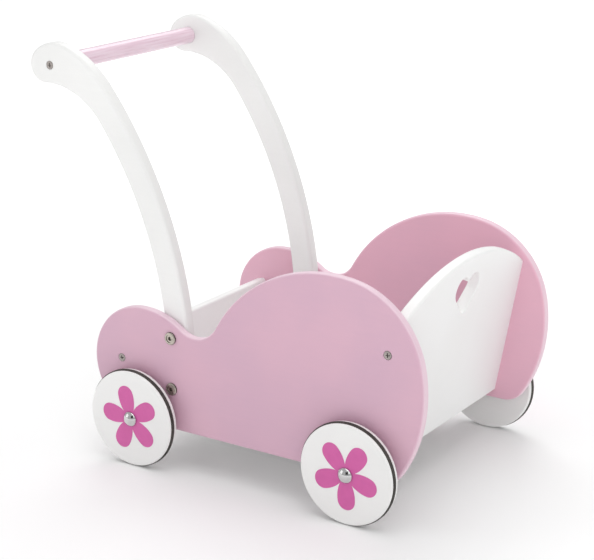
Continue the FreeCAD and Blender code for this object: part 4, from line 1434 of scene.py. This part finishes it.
# ------------------------------------------------------------------ end boards and floor
@dataclass
class CrossBoards:
    """The arched front board with its heart, the low rear board and the floor between them."""

    layout: Layout
    thickness: float = 12.0 * MM
    rounding: float = 3.0 * MM
    rise: float = 1.8 * MM
    front_lead: float = 17.5 * MM
    front_tilt: float = math.radians(10.3)
    front_height: float = 183.5 * MM
    crown_radius: float = 230.0 * MM
    heart_lobe_radius: float = 12.5 * MM
    heart_lobe_spread: float = 11.0 * MM
    heart_lobe_height: float = 151.0 * MM
    heart_tip_height: float = 123.5 * MM
    heart_tip_radius: float = 4.0 * MM
    heart_rounding: float = 1.5 * MM
    heart_slack: float = 0.2 * MM
    rear_tilt: float = math.radians(12.0)
    rear_height: float = 73.5 * MM
    eased: float = 0.35 * MM

    def heart(self) -> bpy.types.Object:
        """Make a heart-shaped cutter: two round lobes and straight sides to a rounded tip.

        Returns:
            The cutter, through the front board before it leans.
        """
        lobe, radius = (self.heart_lobe_spread, self.heart_lobe_height), self.heart_lobe_radius
        tip = (0.0, self.heart_tip_height + self.heart_tip_radius)
        notch = (0.0, lobe[1] + math.sqrt(radius ** 2 - lobe[0] ** 2))
        apart = math.hypot(lobe[0], lobe[1] - tip[1])
        normal = (math.atan2(lobe[1] - tip[1], lobe[0]) - math.pi / 2
                  - math.asin((radius - self.heart_tip_radius) / apart))
        side = (math.cos(normal), math.sin(normal))
        low = (self.heart_tip_radius * side[0], tip[1] + self.heart_tip_radius * side[1])
        high = (lobe[0] + radius * side[0], lobe[1] + radius * side[1])
        heart = Outline("heart", Plane.ACROSS, low)
        heart.line(high)
        heart.arc(lobe, notch, 1)
        heart.arc((-lobe[0], lobe[1]), (-high[0], high[1]), 1)
        heart.line((-low[0], low[1]))
        heart.arc(tip, low, 1)
        piece = heart.board(Vector((3 * self.thickness, 0, 0)))
        return Bench.moved(piece, Matrix.Translation((-2 * self.thickness, 0, 0)))

    def on_heart(self, a: Vector, b: Vector) -> bool:
        """Tell whether an edge runs round the heart on one of the front board's faces.

        Args:
            a: One end of the edge.
            b: Its other end.

        Returns:
            True where it does.
        """
        flat = any(abs(a.x - x) < TOUCH and abs(b.x - x) < TOUCH for x in (0.0, -self.thickness))
        width = self.heart_lobe_spread + self.heart_lobe_radius + TOUCH
        low = self.heart_tip_height - TOUCH
        high = self.heart_lobe_height + self.heart_lobe_radius + TOUCH
        inside = all(abs(end.y) < width and low < end.z < high for end in (a, b))
        middle = (a + b) / 2
        across = math.hypot(abs(middle.y) - self.heart_lobe_spread,
                            middle.z - self.heart_lobe_height)
        return flat and inside and across > self.heart_lobe_radius - self.heart_slack

    def front(self) -> Finished:
        """Make the front board: arched crown, heart cut-out, leaning forward.

        Returns:
            The board.
        """
        half = self.layout.half_inside
        crown = (0.0, self.front_height - self.crown_radius)
        corner = crown[1] + math.sqrt(self.crown_radius ** 2 - half ** 2)
        outline = Outline("painted_front_board", Plane.ACROSS, (-half, 0.0))
        outline.line((half, 0.0))
        outline.line((half, corner))
        outline.arc(crown, (-half, corner), 1)
        outline.line((-half, 0.0))
        piece = outline.board(Vector((-self.thickness, 0, 0)))
        Bench.round_edges(piece, self.rounding, lambda a, b: abs(a.x - b.x) < TOUCH
                          and min(a.z, b.z) > corner - TOUCH)
        Bench.cut(piece, [self.heart()])
        Bench.round_edges(piece, self.heart_rounding, self.on_heart, segments=5)
        foot = self.layout.spot((self.layout.wheelbase + self.front_lead, self.rise))
        Bench.moved(piece, Matrix.Translation(foot) @ Matrix.Rotation(self.front_tilt, 4, "Y"))
        Bench.polish(piece)
        return hand_over(piece, "front_board", PRAM_BODY, "white_end")

    def rear(self) -> Finished:
        """Make the rear board: a cube stretched to size, its upper edges rounded, leaning back.

        Returns:
            The board.
        """
        half = self.layout.half_inside
        Bench.clear()
        bpy.ops.mesh.primitive_cube_add(size=1.0)
        piece = bpy.context.object
        piece.name = "painted_rear_board"
        piece.scale = (self.thickness, 2 * half, self.rear_height)
        piece.location = (0, 0, self.rear_height / 2)
        bpy.ops.object.transform_apply(location=True, scale=True)
        Bench.round_edges(piece, self.rounding, lambda a, b: abs(a.x - b.x) < TOUCH
                          and min(a.z, b.z) > self.rear_height - TOUCH)
        Bench.ease(piece, self.eased)
        middle = centre_of("rear_board") - self.layout.rear
        lean = Matrix.Rotation(-self.rear_tilt, 4, "Y")
        centre = lean @ Vector((0, 0, self.rear_height / 2))
        foot = self.layout.spot((middle.x - centre.x, self.rise))
        Bench.moved(piece, Matrix.Translation(foot) @ lean)
        Bench.polish(piece)
        return hand_over(piece, "rear_board", PRAM_BODY, "white_end")

    def floor(self) -> Finished:
        """Make the floor board, its ends cut to the slopes of the end boards.

        Returns:
            The board.
        """
        low, high = (corner - self.layout.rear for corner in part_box("floor_board"))
        rise = high.z - low.z
        rear_foot = (low.x + rise * math.tan(self.rear_tilt), low.z)
        outline = Outline("painted_floor_board", Plane.SIDE, rear_foot)
        outline.line((high.x - rise * math.tan(self.front_tilt), low.z))
        outline.line((high.x, high.z))
        outline.line((low.x, high.z))
        outline.line(rear_foot)
        piece = outline.board(Vector((0, high.y - low.y, 0)))
        Bench.ease(piece, self.eased)
        Bench.moved(piece, self.layout.shift(low.y))
        Bench.polish(piece)
        return hand_over(piece, "floor_board", PRAM_BODY, "white_floor")

    def build(self) -> list[Finished]:
        """Make the three boards."""
        return [self.front(), self.rear(), self.floor()]


# ------------------------------------------------------------------ handle
@dataclass
class Handle:
    """Two bent arms with rounded heads and the round grip between them."""

    layout: Layout
    fasteners: Fasteners
    front_x: float = 54.4 * MM
    width: float = 26.7 * MM
    rounding: float = 3.5 * MM
    sweep_start: float = 50.0 * MM
    sweep_end: float = 328.0 * MM
    front_radius: float = 446.0 * MM
    rear_radius: float = 410.0 * MM
    upper_radius: float = 114.0 * MM
    shoulder_radius: float = 38.5 * MM
    hollow_radius: float = 81.5 * MM
    head: Point = (-120.0 * MM, 342.6 * MM)
    head_radius: float = 18.0 * MM
    grip_radius: float = 9.0 * MM
    grip_ease: float = 0.6 * MM

    def outline(self, name: str) -> Outline:
        """Draw an arm's outline in the side view, from its foot up its front edge and back.

        Args:
            name: The arm's name.

        Returns:
            The outline.
        """
        front, rear, start = self.front_x, self.front_x - self.width, self.sweep_start
        foot = (self.front_x - self.width / 2, self.fasteners.bolts[0][1])
        long_front = (front - self.front_radius, start)
        long_rear = (rear - self.rear_radius, start)
        rise = self.sweep_end - start
        upper_start = (long_front[0] + math.sqrt(self.front_radius ** 2 - rise ** 2),
                       self.sweep_end)
        upper = reach(upper_start, long_front, self.upper_radius)
        shoulder = circles_meet(upper, self.upper_radius - self.shoulder_radius, self.head,
                                self.shoulder_radius - self.head_radius, -1)
        hollow = circles_meet(long_rear, self.rear_radius - self.hollow_radius, self.head,
                              self.hollow_radius + self.head_radius, -1)
        outline = Outline(name, Plane.SIDE, (front, foot[1]))
        outline.line((front, start))
        outline.arc(long_front, upper_start, 1)
        outline.arc(upper, reach(upper, shoulder, self.upper_radius), 1)
        outline.arc(shoulder, reach(shoulder, self.head, self.shoulder_radius), 1)
        outline.arc(self.head, reach(self.head, hollow, self.head_radius), 1)
        outline.arc(hollow, reach(long_rear, hollow, self.rear_radius), -1)
        outline.arc(long_rear, (rear, start), -1)
        outline.line((rear, foot[1]))
        return outline.arc(foot, (front, foot[1]), 1)

    def arm(self, side: Side) -> Finished:
        """Make one arm, round its edges and countersink it for the grip's screw.

        Args:
            side: The side that it is on.

        Returns:
            The arm.
        """
        inwards = -side.value * self.layout.arm_thickness
        piece = self.outline(f"painted_{side.word}_handle_arm").board(Vector((0, inwards, 0)))
        Bench.round_edges(piece, self.rounding, lambda a, b: abs(a.y - b.y) < TOUCH)
        middle = centre_of("grip_screws") - self.layout.rear
        Bench.cut(piece, [self.fasteners.seat((middle.x, middle.z), 0.0, side)])
        Bench.moved(piece, self.layout.shift(side.value * self.layout.half_inside))
        Bench.polish(piece)
        return hand_over(piece, f"{side.word}_handle_arm", PRAM_BODY, "white_arm")

    def grip(self) -> Finished:
        """Make the grip: a rod with eased ends between the arms.

        Returns:
            The grip.
        """
        half = self.layout.half_inside - self.layout.arm_thickness
        piece = lathe("painted_handle_grip", [
            (0.0, -half), (self.grip_radius, -half, self.grip_ease),
            (self.grip_radius, half, self.grip_ease), (0.0, half)], steps=96)
        Bench.moved(piece, Matrix.Translation(centre_of("handle_grip")))
        Bench.polish(piece)
        return hand_over(piece, "handle_grip", PRAM_BODY, "grip")

    def build(self) -> list[Finished]:
        """Make both arms and the grip."""
        return [*(self.arm(side) for side in Side), self.grip()]


# ------------------------------------------------------------------ wheels and axles
@dataclass
class RollingGear:
    """Axles, spacers, wheels with rubber rings and flowers, and domed hub caps."""

    layout: Layout
    wheel_radius: float = 50.0 * MM
    wheel_thickness: float = 11.0 * MM
    wheel_gap: float = 6.5 * MM
    rim_rounding: float = 1.6 * MM
    back_bevel: float = 1.0 * MM
    lip: float = 0.35 * MM
    bore: float = 4.05 * MM
    tyre_proud: float = 1.0 * MM
    tyre_width: float = 4.0 * MM
    tyre_depth: float = 3.5 * MM
    tyre_inset: float = 2.2 * MM
    tyre_rounding: float = 0.8 * MM
    axle_radius: float = 4.0 * MM
    axle_bevel: float = 0.6 * MM
    spacer_radius: float = 8.0 * MM
    spacer_play: float = 0.2 * MM
    spacer_ease: float = 0.25 * MM
    film: float = 0.3 * MM
    petals: int = 5
    petal_tip: float = 34.8 * MM
    petal_end_radius: float = 9.4 * MM
    petal_side_radius: float = 32.0 * MM
    cap_radius: float = 7.85 * MM
    cap_height: float = 5.2 * MM
    cap_rim: float = 1.0 * MM
    cap_wall: float = 0.7 * MM
    cap_play: float = 0.2 * MM
    cap_eases: Point = (0.25 * MM, 0.5 * MM)
    cap_smooth: float = 50.0

    def turns(self) -> dict[tuple[End, Side], float]:
        """Give the angle of each flower's first petal at rest, up from straight forward.

        Returns:
            The angle for each hub.
        """
        degrees = {(End.REAR, Side.RIGHT): 30.3, (End.FRONT, Side.RIGHT): 56.8,
                   (End.REAR, Side.LEFT): 12.0, (End.FRONT, Side.LEFT): 41.0}
        return {where: math.radians(angle) for where, angle in degrees.items()}

    def wheel(self) -> bpy.types.Object:
        """Make a wheel: rounded outer rim, eased bore and a groove with eased lips.

        Returns:
            The wheel, its inner face at the origin.
        """
        full, rim = self.wheel_thickness, self.wheel_radius
        groove_floor = rim + self.tyre_proud - self.tyre_depth
        groove_out = full - self.tyre_inset
        groove_in = groove_out - self.tyre_width
        piece = lathe("wheel_model", [
            (self.bore, 0.0, self.lip), (rim - self.back_bevel, 0.0, self.lip),
            (rim, self.back_bevel, self.lip), (rim, groove_in, self.lip),
            (groove_floor, groove_in), (groove_floor, groove_out), (rim, groove_out, self.lip),
            (rim, full, self.rim_rounding), (self.bore, full, self.lip)], steps=160, closed=True)
        return Bench.polish(piece)

    def tyre(self) -> bpy.types.Object:
        """Make the rubber ring, its tread edges rounded.

        Returns:
            The ring, placed as on the wheel.
        """
        tread = self.wheel_radius + self.tyre_proud
        inside, outer = tread - self.tyre_depth, self.wheel_thickness - self.tyre_inset
        inner = outer - self.tyre_width
        piece = lathe("tyre_model", [
            (inside, inner), (tread, inner, self.tyre_rounding),
            (tread, outer, self.tyre_rounding), (inside, outer)], steps=160, closed=True)
        return Bench.polish(piece)

    def flower(self) -> bpy.types.Object:
        """Make the flower film: petals drawn in one outline from valley to valley, with a bore.

        Returns:
            The film, its back at the origin.
        """
        half_share = math.pi / self.petals
        end = (self.petal_tip - self.petal_end_radius, 0.0)
        gap = self.petal_side_radius - self.petal_end_radius
        under = circles_meet(end, gap, (0.0, 0.0), self.petal_side_radius, +1)
        over = (under[0], -under[1])
        ray = (math.cos(half_share), math.sin(half_share))
        nearest = ray[0] * under[0] + ray[1] * under[1]
        half_chord = math.sqrt(nearest ** 2 - math.hypot(*under) ** 2
                               + self.petal_side_radius ** 2)
        valley = (ray[0] * (nearest + half_chord), ray[1] * (nearest + half_chord))
        low_valley = (valley[0], -valley[1])
        touch = reach(under, end, self.petal_side_radius)
        low_touch = (touch[0], -touch[1])
        outline = Outline("flower_model", Plane.SIDE, low_valley)
        for petal in range(self.petals):
            turn = petal * FULL_TURN / self.petals
            outline.arc(turned_by(over, turn), turned_by(low_touch, turn), 1)
            outline.arc(turned_by(end, turn), turned_by(touch, turn), 1)
            outline.arc(turned_by(under, turn), turned_by(valley, turn), 1)
        piece = outline.board(Vector((0, self.film, 0)))
        bore = lathe("drill", [(0.0, -MM), (self.bore, -MM), (self.bore, MM), (0.0, MM)])
        Bench.cut(piece, [bore])
        Bench.ease(piece, self.film / 4)
        return Bench.polish(piece)

    def cap(self) -> bpy.types.Object:
        """Make the domed cap: a thin pressed shell with a straight rim and a flat back.

        Returns:
            The cap, its back at the origin.
        """
        rise = self.cap_height - self.cap_rim
        outer = (self.cap_radius ** 2 + rise ** 2) / (2 * rise)
        centre = (0.0, self.cap_height - outer)
        inner = outer - self.cap_wall
        room = math.sqrt(inner ** 2 - (self.cap_wall - centre[1]) ** 2)
        shell = Outline("cap_model", Plane.SECTION, (self.axle_radius, 0.0))
        shell.line((self.cap_radius, 0.0))
        shell.line((self.cap_radius, self.cap_rim))
        shell.arc(centre, (0.0, self.cap_height), 1)
        shell.line((0.0, self.cap_height - self.cap_wall))
        shell.arc(centre, (room, self.cap_wall), -1)
        shell.line((self.axle_radius, self.cap_wall))
        shell.line((self.axle_radius, 0.0))
        bpy.ops.mesh.select_all(action="SELECT")
        bpy.ops.mesh.remove_doubles(threshold=TOUCH)
        back_ease, rim_ease = self.cap_eases
        shell.soften((self.cap_radius, 0.0), back_ease)
        shell.soften((self.cap_radius, self.cap_rim), rim_ease)
        piece = shell.turned(96)
        self.open_pole(piece)
        return Bench.polish(piece, self.cap_smooth)

    @staticmethod
    def open_pole(piece: bpy.types.Object) -> None:
        """Take out the stray edge that a shell's section leaves along its axis.

        Args:
            piece: The shell.
        """
        Bench.pick_edges(piece, lambda a, b: math.hypot(a.x, a.z) < TOUCH
                         and math.hypot(b.x, b.z) < TOUCH)
        bpy.ops.mesh.delete(type="EDGE_FACE")
        bpy.ops.mesh.select_mode(type="VERT")
        Bench.settle(piece)

    def spacer(self) -> bpy.types.Object:
        """Make a flat washer with eased edges.

        Returns:
            The washer, its inner face at the origin.
        """
        thick, ease = self.wheel_gap - 2 * self.spacer_play, self.spacer_ease
        piece = lathe("spacer_model", [
            (self.bore, 0.0, ease), (self.spacer_radius, 0.0, ease),
            (self.spacer_radius, thick, ease), (self.bore, thick, ease)], steps=64, closed=True)
        return Bench.polish(piece)

    def axle(self, end: End) -> Finished:
        """Make an axle rod with bevelled ends.

        Args:
            end: The end of the pram that it is at.

        Returns:
            The axle.
        """
        low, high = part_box(f"{end.word}_axle")
        half, rim, bevel = (high.y - low.y) / 2, self.axle_radius, self.axle_bevel
        piece = lathe(f"plated_{end.word}_axle", [
            (0.0, -half), (rim - bevel, -half), (rim, bevel - half), (rim, half - bevel),
            (rim - bevel, half), (0.0, half)], steps=64)
        Bench.moved(piece, Matrix.Translation(end.hub))
        Bench.polish(piece)
        return hand_over(piece, f"{end.word}_axle", f"{end.word}_axle_set", "rod_steel")

    def build(self) -> list[Finished]:
        """Make the axles, then each hub piece once and copy it to the four wheels.

        Returns:
            Every axle and hub piece.
        """
        finished = [self.axle(end) for end in End]
        inner = self.layout.half_body + self.wheel_gap
        face = inner + self.wheel_thickness
        hubs = [(end, side) for end in End for side in Side]
        turns = self.turns()
        kinds = (
            ("spacer", "moulded", self.spacer(), self.layout.half_body + self.spacer_play,
             "{end}_axle_set", "nylon"),
            ("wheel", "painted", self.wheel(), inner, "{end}_{side}_wheel_set", "white_wheel"),
            ("tyre", "moulded", self.tyre(), inner, "{end}_{side}_wheel_set", "rubber"),
            ("flower", "printed", self.flower(), face, "{end}_{side}_wheel_set", "print"),
            ("hub_cap", "pressed", self.cap(), face + self.film + self.cap_play,
             "{end}_axle_set", "chrome"),
        )
        for kind, craft, model, across, body, finish in kinds:
            nodes = [f"{end.word}_{side.word}_{kind}" for end, side in hubs]
            placements = [facing(side, end.hub + Vector((0, side.value * across, 0)),
                                 turns[end, side]) for end, side in hubs]
            pieces = Bench.copies(model, [f"{craft}_{node}" for node in nodes], placements)
            for (end, side), node, piece in zip(hubs, nodes, pieces):
                rides = body.format(end=end.word, side=side.word)
                finished.append(hand_over(piece, node, rides, finish))
        return finished


# ------------------------------------------------------------------ what stays from the model
@dataclass
class HiddenFittings:
    """Dowels and threaded inserts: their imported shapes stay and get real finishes."""

    dowels: tuple[str, ...] = ("front_board_dowels", "rear_board_dowels", "floor_board_dowels")
    inserts: str = "arm_inserts"

    def build(self) -> list[Finished]:
        """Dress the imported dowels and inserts.

        Returns:
            The dressed nodes.
        """
        finishes = {**dict.fromkeys(self.dowels, "birch"), self.inserts: "nickel"}
        for node, finish in finishes.items():
            dress(frame["nodes"][node], finish)
        return [Finished(frame["nodes"][node]) for node in finishes]


# ------------------------------------------------------------------ studio
def aimed(place: Place, target: Place) -> Euler:
    """Give the rotation of a light or card at a place that looks at a target."""
    return (Vector(target) - Vector(place)).to_track_quat("-Z", "Y").to_euler()


@dataclass(frozen=True)
class Softbox:
    """A square area light: where it hangs, its side in metres and its power in watts."""

    name: str
    place: Place
    size: float
    power: float
    mirrored: bool = True

    def hang(self, target: Place) -> None:
        """Hang the light.

        Args:
            target: What it points at.
        """
        light = bpy.data.lights.new(self.name, "AREA")
        light.size = self.size
        light.energy = self.power
        lamp = bpy.data.objects.new(self.name, light)
        bpy.context.scene.collection.objects.link(lamp)
        lamp.visible_glossy = self.mirrored
        lamp.location = self.place
        lamp.rotation_euler = aimed(self.place, target)


@dataclass
class Studio:
    """A pale floor with a painted glow that rises away from the pram, soft lights and the camera.
    """

    camera_place: Place = (0.8924, -1.3526, 0.6789)
    camera_pitch: float = math.radians(72.7)
    camera_turn: float = math.radians(33.15)
    focal_length: float = 100.2
    floor_size: float = 60.0
    floor_colour: Colour = (0.93, 0.93, 0.93)
    floor_mottle: Colour = (0.94, 0.94, 0.94)
    floor_roughness: float = 0.9
    mottle: Grain = Grain(2.0, 2.0)
    near_painted_glow: Colour = (0.02, 0.02, 0.02)
    far_painted_glow: Colour = (0.44, 0.44, 0.44)
    painted_glow_range: Point = (0.26, 1.3)
    sky_colour: Colour = (1.0, 1.0, 1.0)
    sky_strength: float = 0.59
    light_target: Place = (0.0, 0.0, 0.15)
    softboxes: tuple[Softbox, ...] = (
        Softbox("back_box", (-0.7, 1.2, 2.1), size=1.6, power=18.0),
        Softbox("top_box", (0.5, -0.3, 2.4), size=1.8, power=14.0),
        Softbox("front_box", (2.4, -1.6, 2.2), size=1.6, power=8.0),
        Softbox("left_box", (-1.7, -1.5, 0.9), size=1.3, power=5.0),
        Softbox("fill_box", (1.2, -2.0, 0.9), size=0.9, power=8.0, mirrored=False),
    )
    flag_place: Place = (1.1, -2.35, 1.4)
    flag_target: Place = (0.0, 0.0, 0.1)
    flag_size: float = 1.5
    flag_colour: Colour = (0.01, 0.01, 0.01)
    flag_mottle: Colour = (0.02, 0.02, 0.02)
    flag_roughness: float = 0.8
    flag_grain: Grain = Grain(30.0)

    def floor(self) -> None:
        """Lay the floor: it glows faintly near the pram and strongly far from it, a painted glow
        that whitens the far floor while the shadow round the pram stays deep.
        """
        Bench.clear()
        bpy.ops.mesh.primitive_plane_add(size=self.floor_size, location=(0, 0, CAD_BOX[0].z))
        floor = bpy.context.object
        floor.name = "studio_floor"
        recipe = Recipe("glowing_studio_paper")
        pale = recipe.mix(self.floor_colour, self.floor_mottle, recipe.noise(self.mottle))
        away = (recipe.axis("X") ** 2.0 + recipe.axis("Y") ** 2.0) ** 0.5
        # Painted glow: the floor's emission rises with distance from the pram's middle.
        glow = recipe.mix(self.near_painted_glow, self.far_painted_glow, away.between(*self.painted_glow_range))
        recipe.surface(base_color=pale, roughness=self.floor_roughness, emission_color=glow,
                       emission_strength=1.0)
        floor.data.materials.append(recipe.material)

    def sky(self) -> None:
        """Set an even, bright surround."""
        world = bpy.data.worlds.new("studio_surround")
        bpy.context.scene.world = world
        world.use_nodes = True
        background = world.node_tree.nodes["Background"]
        background.inputs["Color"].default_value = (*self.sky_colour, 1.0)
        background.inputs["Strength"].default_value = self.sky_strength

    def flag(self) -> None:
        """Stand a black card behind the camera, so that plated parts have something to mirror."""
        Bench.clear()
        bpy.ops.mesh.primitive_plane_add(size=self.flag_size, location=self.flag_place,
                                         rotation=aimed(self.flag_place, self.flag_target))
        card = bpy.context.object
        card.name = "studio_flag"
        card.visible_camera = False
        recipe = Recipe("black_card")
        dull = recipe.mix(self.flag_colour, self.flag_mottle, recipe.noise(self.flag_grain))
        recipe.surface(base_color=dull, roughness=self.flag_roughness)
        card.data.materials.append(recipe.material)

    def camera(self) -> None:
        """Stand the camera at the front right, looking down at the pram."""
        data = bpy.data.cameras.new("studio_camera")
        data.lens = self.focal_length
        camera = bpy.data.objects.new("studio_camera", data)
        bpy.context.scene.collection.objects.link(camera)
        camera.location = self.camera_place
        camera.rotation_euler = (self.camera_pitch, 0.0, self.camera_turn)
        bpy.context.scene.camera = camera

    def build(self) -> None:
        """Set up the studio."""
        self.floor()
        self.sky()
        for softbox in self.softboxes:
            softbox.hang(self.light_target)
        self.flag()
        self.camera()
        bpy.context.scene.view_settings.view_transform = "Standard"


def main() -> None:
    """Build every sub-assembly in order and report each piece."""
    logging.basicConfig(level=logging.INFO, format="%(name)s: %(message)s")
    layout = Layout.read()
    fasteners = Fasteners(layout)
    assemblies = (SidePanels(layout, fasteners), CrossBoards(layout), Handle(layout, fasteners),
                  fasteners, RollingGear(layout), HiddenFittings())
    for assembly in assemblies:
        for item in assembly.build():
            LOG.info("%s: %s, %d faces, box within %.2f mm", type(assembly).__name__,
                     item.piece.name, len(item.piece.data.polygons), item.misfit / MM)
    Studio().build()


if __name__ == "__main__":
    main()
